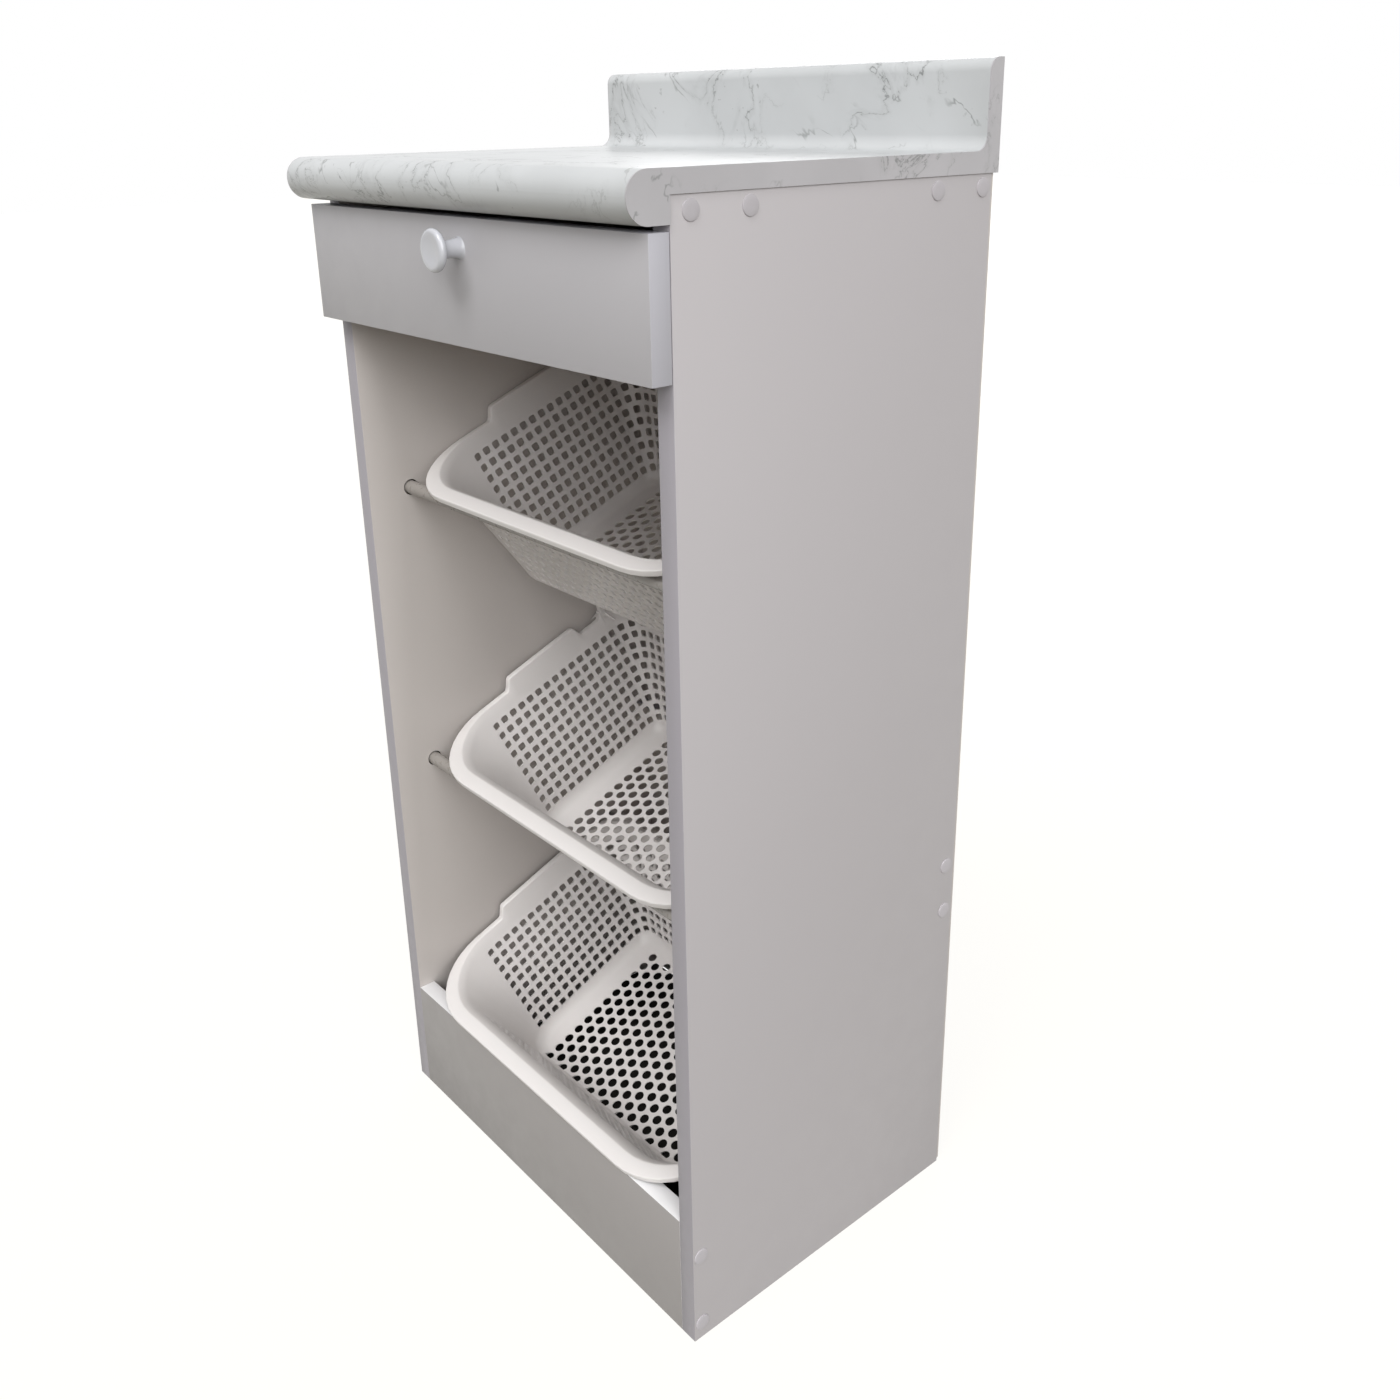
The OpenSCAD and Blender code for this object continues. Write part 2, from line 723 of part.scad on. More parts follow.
side_panel_left();
side_panel_right();
worktop();
worktop_end_left();
worktop_end_right();
kickboard();
top_rail_front();
top_rail_rear();
low_rail_rear();
back_panel();
front_rod_upper();
front_rod_middle();
rear_rod_upper();
rear_rod_middle();
rear_rod_lower();
cabinet_runner_left();
cabinet_runner_right();
cover_caps();
carcass_screws();
worktop_screws();
runner_screws();
back_panel_nails();
cabinet_roller_left();
cabinet_roller_right();
drawer_front();
drawer_side_left();
drawer_side_right();
drawer_back();
drawer_bottom();
drawer_runner_left();
drawer_runner_right();
drawer_roller_left();
drawer_roller_right();
corner_blocks();
corner_block_screws();
drawer_side_screws();
drawer_runner_screws();
knob();
knob_screw();
basket_top();
basket_middle();
basket_bottom();
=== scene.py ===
"""Kitchen base cabinet with a marble worktop, a knob drawer and three hanging vegetable baskets."""

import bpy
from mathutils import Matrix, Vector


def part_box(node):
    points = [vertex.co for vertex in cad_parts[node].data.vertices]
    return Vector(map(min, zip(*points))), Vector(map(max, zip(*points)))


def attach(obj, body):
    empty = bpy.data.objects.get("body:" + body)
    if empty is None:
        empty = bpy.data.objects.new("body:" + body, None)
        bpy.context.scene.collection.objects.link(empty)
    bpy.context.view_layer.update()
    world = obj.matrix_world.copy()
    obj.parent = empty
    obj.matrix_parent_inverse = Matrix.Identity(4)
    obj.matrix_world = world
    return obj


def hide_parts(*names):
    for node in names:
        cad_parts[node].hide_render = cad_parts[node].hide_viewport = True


bl_info = {
    "name": "Vegetable Basket Cabinet",
    "version": (1, 0, 0),
    "blender": (4, 5, 0),
    "location": "3D View > Sidebar > Cabinet",
    "description": "Finishes the boards, worktop, drawer, runners and baskets of a base cabinet",
    "category": "Object",
}

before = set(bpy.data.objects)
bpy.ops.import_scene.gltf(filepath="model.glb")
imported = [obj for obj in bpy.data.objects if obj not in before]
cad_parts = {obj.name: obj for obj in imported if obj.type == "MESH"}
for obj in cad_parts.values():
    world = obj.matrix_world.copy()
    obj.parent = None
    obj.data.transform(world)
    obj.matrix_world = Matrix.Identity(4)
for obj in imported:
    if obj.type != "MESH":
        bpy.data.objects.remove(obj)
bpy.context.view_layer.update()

import math

import bmesh
import bpy
from bpy.props import FloatProperty, FloatVectorProperty, IntProperty, PointerProperty
from bpy.types import Operator, Panel, PropertyGroup
from mathutils import Euler, Matrix, Vector

MM = 0.001
SIDES = (("left", -1), ("right", 1))


def length(name, about, size):
    """A size given in millimetres and kept in metres."""
    return FloatProperty(name=name, description=about, default=size * MM, min=0.0, unit="LENGTH", precision=4)


def amount(name, about, size, unit="NONE"):
    """A plain number of at least nothing."""
    return FloatProperty(name=name, description=about, default=size, min=0.0, subtype=unit)


def count(name, about, size):
    return IntProperty(name=name, description=about, default=size, min=1)


def tint(name, about, red, green, blue):
    """A colour given as it looks, from 0 to 255, and kept as the linear light that shaders use."""
    linear = [(value / 255.0) ** 2.2 for value in (red, green, blue)]
    return FloatVectorProperty(
        name=name, description=about, default=linear, min=0.0, max=1.0, size=3, subtype="COLOR"
    )


class CabinetColours(PropertyGroup):
    """Colours of the finishes."""

    board: tint("Board", "White melamine face of the side panels", 183, 179, 181)
    front: tint("Drawer front", "Melamine face of the drawer front", 181, 179, 182)
    # The kickboard is the drawer-front melamine painted darker: painted shade for the dim light near the
    # floor.
    kick: tint("Kickboard", "Melamine face of the kickboard", 155, 151, 149)
    # The board's own white melamine with a warm tint that stands in for the warm light in the shaded
    # interior: partly painted light.
    inner: tint("Inside", "Melamine inside the cabinet", 192, 186, 182)
    edge: tint("Edge band", "Cool white band on the ends of the drawer front", 184, 183, 190)
    panel_edge: tint("Panel edge", "Band on the front edges of the side panels", 162, 158, 164)
    ledge: tint("Ledge", "Top edge of the kickboard", 232, 231, 232)
    chip: tint("Raw chipboard", "Uncovered edge of a board", 176, 150, 116)
    marble: tint("Marble ground", "Pale ground of the worktop laminate", 194, 196, 197)
    marble_end: tint("Marble end", "Ground of the laminate on the worktop ends", 184, 182, 185)
    vein: tint("Vein", "Grey of the printed veins", 116, 118, 117)
    plastic: tint("Basket plastic", "White moulded plastic of the baskets", 223, 219, 217)
    knob: tint("Knob plastic", "Glossy white plastic of the knob", 190, 191, 197)
    cap: tint("Cover cap", "Plastic of the screw covers", 184, 180, 184)
    rod: tint("Rod paint", "Paint of the carrying rods", 150, 145, 140)
    runner: tint("Runner coat", "Powder coat of the drawer runners", 222, 222, 220)
    nylon: tint("Roller nylon", "Nylon of the runner rollers", 226, 224, 216)
    hardboard: tint("Hardboard", "Bare rear of the back panel and drawer bottom", 146, 110, 74)
    zinc: tint("Zinc", "Plated screws and nails", 190, 192, 196)
    floor: tint("Floor", "Warm light that the studio floor throws back", 98, 94, 80)
    # Far darker than the raw chipboard: painted shade inside the rod sockets.
    socket: tint("Socket", "Raw board inside the sockets of the rods", 70, 58, 46)
    shaded_floor: tint("Floor in the plinth", "Unlit floor behind the kickboard", 40, 38, 36)


class BoardSizes(PropertyGroup):
    """Sizes of the boards and of what is turned or bent."""

    softness: length("Edge softness", "Rounding of the board edges", 0.5)
    socket_radius: length("Socket radius", "Hole in a side panel that a rod goes into", 7.1)
    socket_depth: length("Socket depth", "Depth of that hole", 8)
    rod_softness: length("Rod edge", "Rounding of the rod ends", 0.6)
    slab: length("Worktop slab", "Thickness of the worktop behind its nose", 15)
    nose: length("Nose height", "Height of the rounded front edge", 32)
    upstand: length("Upstand thickness", "Thickness of the raised rear edge", 14)
    cove: length("Cove radius", "Hollow between worktop and upstand", 11)
    crest: length("Crest radius", "Rounding on top of the upstand", 9)
    cap_dome: length("Cap edge", "Rounding of a cover cap", 0.5)
    knob_foot: length("Knob foot", "Radius of the knob where it meets the front", 8)
    knob_waist: length("Knob waist", "Narrowest radius of the knob", 6.2)
    knob_neck: length("Knob neck", "Radius of the stem under the disc", 9)
    knob_disc: length("Knob disc", "Thickness of the knob's disc", 6)
    knob_dish: length("Knob dish", "Hollow in the middle of the disc", 1)


class BasketSizes(PropertyGroup):
    """Sizes of one basket in its own frame: x across, y up the slope, z square to the rim."""

    tilt: amount("Tilt", "Backward slope", math.radians(22), "ANGLE")
    rim_half: length("Rim half width", "From the middle to the outside of the rim", 195)
    rim_corner: length("Rim corner", "Outer radius of the front corners of the rim", 72)
    rear_rim_corner: length("Rear rim corner", "Outer radius of the rear corners of the rim", 35)
    rim_length: length("Rim length", "From the front to the rear of the rim", 274.97)
    front_flange: length("Front flange", "Width of the rim in front", 13.6)
    side_flange: length("Side flange", "Width of the rim at the sides", 6.3)
    rear_flange: length("Rear flange", "Width of the rim behind", 12)
    lip: length("Lip", "Height of the turned down edge", 5)
    wall: length("Wall", "Thickness of the moulding", 2)
    rim_softness: length("Rim softness", "Rounding of the edges of the rim", 1.6)
    depth: length("Depth", "From the rim to the floor inside", 132)
    side_lean: amount("Side lean", "How far a side wall leans in for its depth", 0.2475)
    rear_lean: amount("Rear lean", "How far the rear wall leans in for its depth", 0.296)
    fillet: length("Fillet", "Rounding between walls and floor", 14)
    shoulder: length("Shoulder depth", "Where the steep top of the front wall ends", 8)
    shoulder_front: length("Shoulder front", "Front wall at the shoulder", 22)
    foot_front: length("Foot front", "Front wall where it turns into the floor", 52)
    foot_corner: length("Foot corner", "Radius of the front corners at the foot of the walls", 30)
    rear_foot_corner: length("Rear foot corner", "Radius of the rear corners at the foot of the walls", 14)
    grip_rise: length("Grip rise", "How far the side grips stand above the rim", 12)
    grip_start: length("Grip start", "Where the side grips begin", 111.9)
    grip_end: length("Grip end", "Where the side grips end", 193)
    grip_ramp: length("Grip ramp", "Length of the slope at each end of a grip", 9)
    rear_rise: length("Rear rise", "How far the rear rim stands above the rest", 7)
    rear_start: length("Rear start", "Where the raised rear rim begins", 227.1)
    rear_ramp: length("Rear ramp", "Half length of the slope up to the rear rim", 4)
    slot_pitch: length("Slot pitch", "Spacing of the slots in the walls", 11.03)
    slot_size: length("Slot size", "Width of a slot inside", 6.9)
    slot_flare: length("Slot flare", "How much wider a slot is outside", 1.1)
    slot_first: length("First slot", "Place of the first slot from the front", 75.2)
    slot_top: length("Top row", "Depth of the upper row of slots", 19.3)
    hole_size: length("Floor hole", "Diameter of a hole in the floor", 9.4)
    hole_flare: length("Hole flare", "How much wider a floor hole is below", 2.2)
    hole_across: length("Floor columns", "Spacing of the columns of floor holes", 11.7)
    hole_along: length("Floor rows", "Spacing of the holes in one column", 13.5)
    hole_first: length("First floor hole", "Place of the first floor hole from the front", 66)
    rows: count("Rows", "Rows of slots in a wall", 10)
    floor_columns: count("Columns of holes", "Columns of floor holes at each side of the middle one", 11)
    floor_rows: count("Rows of holes", "Holes in the shorter columns of the floor", 11)
    front_slots: amount("Front slots", "Size of the slots in front against the others", 0.74)


class StageSettings(PropertyGroup):
    """Camera, floor and light."""

    eye: FloatVectorProperty(
        name="Camera place", description="Where the camera stands", subtype="XYZ", unit="LENGTH",
        default=(0.84551, -0.64789, 0.93154), precision=5,
    )
    aim: FloatVectorProperty(
        name="Camera turn", description="How the camera is turned", subtype="EULER",
        default=[math.radians(angle) for angle in (69.917, 0.9014, 49.2443)], precision=5,
    )
    lens: amount("Lens", "Focal length in millimetres", 34.598)
    shift: FloatProperty(name="Shift", description="Vertical lens shift", default=-0.0714)
    floor_side: length("Floor side", "Side of the square floor", 30000.0)
    glow: amount("Floor glow", "White that the camera adds to the floor", 0.88)
    front_light: amount("Front light", "Strength of the soft light in front", 1.5)
    side_light: amount("Side light", "Strength of the soft light on the right", 2.35)
    rear_light: amount("Rear light", "Strength of the low soft light behind", 0.8)
    sky: amount("Sky", "Strength of the even light all round", 0.38)


def colours():
    return bpy.context.scene.cabinet_colours


def boards():
    return bpy.context.scene.cabinet_boards


def baskets():
    return bpy.context.scene.cabinet_baskets


# Hand tools of the workshop


def put_down():
    """Leaves edit mode and drops every selection."""
    if bpy.context.object and bpy.context.object.mode != "OBJECT":
        bpy.ops.object.mode_set(mode="OBJECT")
    bpy.ops.object.select_all(action="DESELECT")


def pick_up(piece):
    """Makes the piece the only selected one."""
    put_down()
    piece.select_set(True)
    bpy.context.view_layer.objects.active = piece
    return piece


def open_mesh(piece):
    pick_up(piece)
    bpy.ops.object.mode_set(mode="EDIT")
    bpy.ops.mesh.select_all(action="DESELECT")


def close_mesh():
    bpy.ops.object.mode_set(mode="OBJECT")


def mark_all():
    bpy.ops.mesh.select_all(action="SELECT")


def mark(kind, test):
    """Selects the corners, edges or faces of the open mesh that pass the test, and counts them."""
    bpy.ops.mesh.select_mode(type=kind)
    bpy.ops.mesh.select_all(action="DESELECT")
    shape = bmesh.from_edit_mesh(bpy.context.edit_object.data)
    parts = {"VERT": shape.verts, "EDGE": shape.edges, "FACE": shape.faces}[kind]
    found = [part for part in parts if test(part)]
    for part in found:
        part.select_set(True)
    bmesh.update_edit_mesh(bpy.context.edit_object.data)
    return len(found)


def edge_middle(edge):
    return (edge.verts[0].co + edge.verts[1].co) / 2


def settle(piece):
    """Takes the place, turn and size of the object into its mesh."""
    pick_up(piece)
    bpy.ops.object.transform_apply(location=True, rotation=True, scale=True)
    return piece


def rename(piece, name):
    piece.name = name
    piece.data.name = name
    return piece


def block(name, low, high):
    """A box between two corners."""
    low, high = Vector(low), Vector(high)
    put_down()
    bpy.ops.mesh.primitive_cube_add(size=1, location=(low + high) / 2)
    piece = bpy.context.object
    piece.scale = high - low
    return rename(settle(piece), name)


def bevel_all(piece, width, segments=2):
    open_mesh(piece)
    mark_all()
    bpy.ops.mesh.bevel(offset=width, segments=segments, affect="EDGES")
    close_mesh()
    return piece


def cut_board(name, low, high):
    """A board with softened edges."""
    return bevel_all(block(name, low, high), boards().softness)


def lathe(name, outline, sides=48):
    """A turned piece along z: a first ring is drawn up through (radius, height) steps and closed."""
    radius, height = outline[0]
    put_down()
    bpy.ops.mesh.primitive_circle_add(vertices=sides, radius=radius, location=(0, 0, height),
                                      fill_type="NGON")
    piece = rename(settle(bpy.context.object), name)
    open_mesh(piece)
    bpy.ops.mesh.select_mode(type="FACE")
    mark_all()
    for next_radius, next_height in outline[1:]:
        bpy.ops.mesh.extrude_region_move(TRANSFORM_OT_translate={"value": (0, 0, next_height - height)})
        ratio = next_radius / radius
        bpy.ops.transform.resize(value=(ratio, ratio, 1), center_override=(0, 0, next_height))
        radius, height = next_radius, next_height
    mark_all()
    bpy.ops.mesh.normals_make_consistent(inside=False)
    close_mesh()
    return piece


def along_x(piece, middle):
    """Lays a turned piece along x with its foot at middle."""
    piece.rotation_euler = (0, math.radians(90), 0)
    piece.location = middle
    return settle(piece)


def join(name, pieces):
    pick_up(pieces[0])
    for piece in pieces[1:]:
        piece.select_set(True)
    bpy.ops.object.join()
    return rename(bpy.context.object, name)


def copy_of(piece, name, change=None):
    """A copy with its own mesh, moved by a matrix."""
    twin = piece.copy()
    twin.data = piece.data.copy()
    bpy.context.scene.collection.objects.link(twin)
    if change is not None:
        twin.data.transform(change)
    return rename(twin, name)


def carve(piece, tool, operation="DIFFERENCE"):
    """Cuts the tool out of the piece, or adds it, and throws the tool away."""
    pick_up(piece)
    cut = piece.modifiers.new("Cut", "BOOLEAN")
    cut.operation = operation
    cut.solver = "MANIFOLD"
    cut.object = tool
    bpy.ops.object.modifier_apply(modifier=cut.name)
    bpy.data.objects.remove(tool)
    return piece


def finish_piece(piece, body, finishes, nodes, rule=None, angle=35):
    """Smooths the piece, gives each face its finish and hangs the piece on its body."""
    pick_up(piece)
    bpy.ops.object.shade_smooth_by_angle(angle=math.radians(angle))
    piece.data.materials.clear()
    for name in finishes:
        piece.data.materials.append(finish(name))
    for face in piece.data.polygons:
        face.material_index = rule(face) if rule else 0
    if nodes:
        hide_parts(*nodes)
    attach(piece, body)
    put_down()
    return piece


def loose_boxes(node):
    """Lowest and highest corner of each separate solid in a CAD node."""
    shape = bmesh.new()
    shape.from_mesh(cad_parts[node].data)
    bmesh.ops.remove_doubles(shape, verts=shape.verts, dist=1e-6)
    left = set(shape.verts)
    boxes = []
    while left:
        island = {left.pop()}
        front = list(island)
        while front:
            near = {edge.other_vert(corner) for corner in front for edge in corner.link_edges} - island
            island |= near
            front = list(near)
        left -= island
        places = [corner.co for corner in island]
        low = Vector([min(place[axis] for place in places) for axis in range(3)])
        high = Vector([max(place[axis] for place in places) for axis in range(3)])
        boxes.append((low, high))
    shape.free()
    return sorted(boxes, key=lambda box: tuple(round(value, 4) for value in box[0]))


# Finishes


def node(tree, kind, inputs=None, **settings):
    """Adds a shader node; an input takes a value or the output of another node."""
    made = tree.nodes.new(kind)
    for name, value in settings.items():
        setattr(made, name, value)
    for key, value in (inputs or {}).items():
        if isinstance(value, bpy.types.NodeSocket):
            tree.links.new(value, made.inputs[key])
        else:
            made.inputs[key].default_value = value
    return made


def maths(tree, operation, one, other=None, **settings):
    """The result of one sum."""
    given = {0: one} if other is None else {0: one, 1: other}
    return node(tree, "ShaderNodeMath", given, operation=operation, **settings).outputs[0]


def noise(tree, place, scale, detail, **more):
    """The value of a cloud texture."""
    given = {"Vector": place, "Scale": scale, "Detail": detail}
    given.update({name.capitalize(): value for name, value in more.items()})
    return node(tree, "ShaderNodeTexNoise", given).outputs[0]


def ranged(tree, value, low, high, start=0.0, end=1.0, ease="LINEAR"):
    """Carries a value from one range over to another."""
    return node(tree, "ShaderNodeMapRange", {
        "Value": value, "From Min": low, "From Max": high, "To Min": start, "To Max": end},
        interpolation_type=ease).outputs[0]


def blend(tree, share, one, other):
    """A colour between two."""
    return node(tree, "ShaderNodeMix", {"Factor": share, 6: one, 7: other}, data_type="RGBA").outputs[2]


def group_tree(name, inputs, outputs):
    """An empty node group with its sockets, and the two nodes at its ends."""
    tree = bpy.data.node_groups.new(name, "ShaderNodeTree")
    for label, kind, value in inputs:
        socket = tree.interface.new_socket(label, in_out="INPUT", socket_type=kind)
        if value is not None:
            socket.default_value = value
    for label, kind in outputs:
        tree.interface.new_socket(label, in_out="OUTPUT", socket_type=kind)
    return tree, tree.nodes.new("NodeGroupInput"), tree.nodes.new("NodeGroupOutput")


def group(name, build):
    return bpy.data.node_groups.get(name) or build(name)


FLOAT = "NodeSocketFloat"
VECTOR = "NodeSocketVector"


def build_handling(name):
    """Faint cloudy marks that years of hands and wiping leave on a flat white surface."""
    tree, given, result = group_tree(
        name,
        [("Place", VECTOR, None), ("Scale", FLOAT, 6.0), ("Contrast", FLOAT, 1.0)],
        [("Marks", FLOAT), ("Fine", FLOAT)],
    )
    place, scale = given.outputs["Place"], given.outputs["Scale"]
    wide = noise(tree, place, scale, 5.0, roughness=0.55)
    fine = noise(tree, place, maths(tree, "MULTIPLY", scale, 14.0), 3.0, roughness=0.6)
    spread = maths(tree, "MULTIPLY", maths(tree, "SUBTRACT", wide, 0.5), given.outputs["Contrast"])
    marks = maths(tree, "ADD", spread, 0.5, use_clamp=True)
    tree.links.new(marks, result.inputs["Marks"])
    tree.links.new(fine, result.inputs["Fine"])
    return tree


def build_veins(name):
    """Printed marble: slanted streaks, winding veins with a soft halo, small flecks and clouds."""
    tree, given, result = group_tree(
        name,
        [("Place", VECTOR, None), ("Scale", FLOAT, 1.0), ("Width", FLOAT, 1.0), ("Cover", FLOAT, 1.0)],
        [("Veins", FLOAT), ("Clouds", FLOAT)],
    )
    laid = node(tree, "ShaderNodeMapping", {
        "Vector": given.outputs["Place"], "Location": (0.7, 0.1, 0.3),
        "Rotation": (0.0, math.radians(38), math.radians(-17))}, vector_type="TEXTURE")
    place = node(tree, "ShaderNodeVectorMath", {0: laid.outputs[0], "Scale": given.outputs["Scale"]},
                 operation="SCALE").outputs[0]

    def stretched(along):
        return node(tree, "ShaderNodeMapping", {"Vector": place, "Scale": (along, 1.0, 1.0)}).outputs[0]

    def cloud(vector, scale, detail, rough=0.55, wobble=0.0):
        return noise(tree, vector, scale, detail, roughness=rough, distortion=wobble)

    def times(one, other):
        return maths(tree, "MULTIPLY", one, other)

    def brightest(one, other):
        return maths(tree, "MAXIMUM", one, other)

    def band(value, low, high):
        """0 below low, 1 above high, smooth between."""
        return ranged(tree, value, low, high, ease="SMOOTHSTEP")

    def ridge(value, width):
        """A line where the cloud crosses its middle value."""
        size = maths(tree, "ABSOLUTE", maths(tree, "SUBTRACT", value, 0.5))
        return ranged(tree, size, 0.0, width, 1.0, 0.0, "SMOOTHSTEP")

    swelling = ranged(tree, cloud(place, 55.0, 2.0), 0.35, 0.68, 0.1, 1.4)
    thickness = times(swelling, given.outputs["Width"])
    winding = cloud(stretched(0.75), 15.0, 7.0, 0.6, 0.5)
    fields = band(cloud(place, 8.5, 2.0), 0.45, 0.6)
    veins = times(ridge(winding, times(thickness, 0.016)), fields)
    halo = times(times(ridge(winding, 0.05), fields), 0.16)
    streaks = times(ridge(cloud(stretched(0.22), 36.0, 4.0, 0.5), times(thickness, 0.028)),
                    band(cloud(place, 11.0, 2.0), 0.5, 0.62))
    streaks = times(streaks, band(cloud(stretched(0.5), 48.0, 2.0), 0.42, 0.54))
    flecks = times(band(cloud(place, 170.0, 2.0), 0.67, 0.72), band(cloud(place, 14.0, 1.0), 0.52, 0.64))
    every = brightest(brightest(veins, halo), brightest(times(streaks, 0.85), times(flecks, 0.6)))
    shown = maths(tree, "MULTIPLY", every, given.outputs["Cover"], use_clamp=True)
    tree.links.new(shown, result.inputs["Veins"])
    tree.links.new(band(cloud(place, 10.0, 4.0), 0.35, 0.7), result.inputs["Clouds"])
    return tree


def shade(colour, factor):
    """The same colour, lighter or darker."""
    return [min(1.0, channel * factor) for channel in colour] + [1.0]


def new_finish(name):
    """A material with its shader and the place of the surface on the piece."""
    material = bpy.data.materials.new(name)
    material.use_nodes = True
    tree = material.node_tree
    tree.nodes.clear()
    shader = tree.nodes.new("ShaderNodeBsdfPrincipled")
    output = tree.nodes.new("ShaderNodeOutputMaterial")
    tree.links.new(shader.outputs[0], output.inputs["Surface"])
    place = tree.nodes.new("ShaderNodeTexCoord").outputs["Object"]
    return material, tree, shader, place


def plain_finish(name, colour, dark=0.95, scale=6.0, contrast=1.0, rough=0.4, spread=0.08,
                 grain=900.0, relief=0.03, metallic=0.0, coat=0.0, mirror=0.25):
    """A painted, moulded or coated surface: clouded colour, uneven gloss and a fine grain."""
    material, tree, shader, place = new_finish(name)
    marks = node(tree, "ShaderNodeGroup", {}, node_tree=group("handling_marks", build_handling))
    tree.links.new(place, marks.inputs["Place"])
    marks.inputs["Scale"].default_value = scale
    marks.inputs["Contrast"].default_value = contrast
    mixed = blend(tree, marks.outputs["Marks"], shade(colour, 1.0), shade(colour, dark))
    gloss = ranged(tree, marks.outputs["Fine"], 0.3, 0.7, rough - spread, rough + spread)
    skin = noise(tree, place, grain, 2.0)
    bump = node(tree, "ShaderNodeBump", {"Height": skin, "Strength": relief, "Distance": 0.0004})
    tree.links.new(mixed, shader.inputs["Base Color"])
    tree.links.new(gloss, shader.inputs["Roughness"])
    tree.links.new(bump.outputs[0], shader.inputs["Normal"])
    shader.inputs["Metallic"].default_value = metallic
    shader.inputs["Coat Weight"].default_value = coat
    shader.inputs["Specular IOR Level"].default_value = mirror
    return material


def marble_finish(name, ground, vein_width, cover, scale):
    """Marble print under a satin laminate surface."""
    material, tree, shader, place = new_finish(name)
    veins = node(tree, "ShaderNodeGroup", {}, node_tree=group("marble_print", build_veins))
    tree.links.new(place, veins.inputs["Place"])
    veins.inputs["Scale"].default_value = scale
    veins.inputs["Width"].default_value = vein_width
    veins.inputs["Cover"].default_value = cover
    clouded = blend(tree, veins.outputs["Clouds"], shade(ground, 1.0), shade(ground, 0.93))
    printed = blend(tree, veins.outputs["Veins"], clouded, shade(colours().vein, 1.0))
    marks = node(tree, "ShaderNodeGroup", {}, node_tree=group("handling_marks", build_handling))
    tree.links.new(place, marks.inputs["Place"])
    gloss = ranged(tree, marks.outputs["Marks"], 0.3, 0.7, 0.26, 0.36)
    tree.links.new(printed, shader.inputs["Base Color"])
    tree.links.new(gloss, shader.inputs["Roughness"])
    shader.inputs["Specular IOR Level"].default_value = 0.4
    return material


def fibre_finish(name, light, dark, scale, stretch, rough=0.85):
    """Pressed wood: chips or fibres in two browns with a matching relief."""
    material, tree, shader, place = new_finish(name)
    laid = node(tree, "ShaderNodeMapping", {"Vector": place, "Scale": stretch})
    chips = node(tree, "ShaderNodeTexVoronoi", {"Vector": laid.outputs[0], "Scale": scale})
    dust = noise(tree, place, scale * 0.6, 6.0)
    both = maths(tree, "MULTIPLY", chips.outputs["Color"], dust)
    bump = node(tree, "ShaderNodeBump", {"Height": both, "Strength": 0.3, "Distance": 0.0003})
    tree.links.new(blend(tree, both, light, dark), shader.inputs["Base Color"])
    tree.links.new(bump.outputs[0], shader.inputs["Normal"])
    shader.inputs["Roughness"].default_value = rough
    shader.inputs["Specular IOR Level"].default_value = 0.2
    return material


def background_rays(tree):
    """1 for what the camera sees directly, in a mirror or through glass, else 0."""
    path = tree.nodes.new("ShaderNodeLightPath")
    seen = maths(tree, "MAXIMUM", path.outputs["Is Camera Ray"], path.outputs["Is Glossy Ray"])
    return maths(tree, "MAXIMUM", seen, path.outputs["Is Transmission Ray"])


def glowing(material):
    """Lifts a floor paint to white for the camera, so that only its shadows show."""
    tree = material.node_tree
    shader = next(item for item in tree.nodes if item.type == "BSDF_PRINCIPLED")
    lift = maths(tree, "MULTIPLY", background_rays(tree), bpy.context.scene.cabinet_stage.glow)
    tree.links.new(lift, shader.inputs["Emission Strength"])
    shader.inputs["Emission Color"].default_value = (1, 1, 1, 1)
    return material


def plain(colour, *numbers, **extras):
    """A maker of a plain finish in one of the cabinet's colours."""
    return lambda name: plain_finish(name, getattr(colours(), colour), *numbers, **extras)


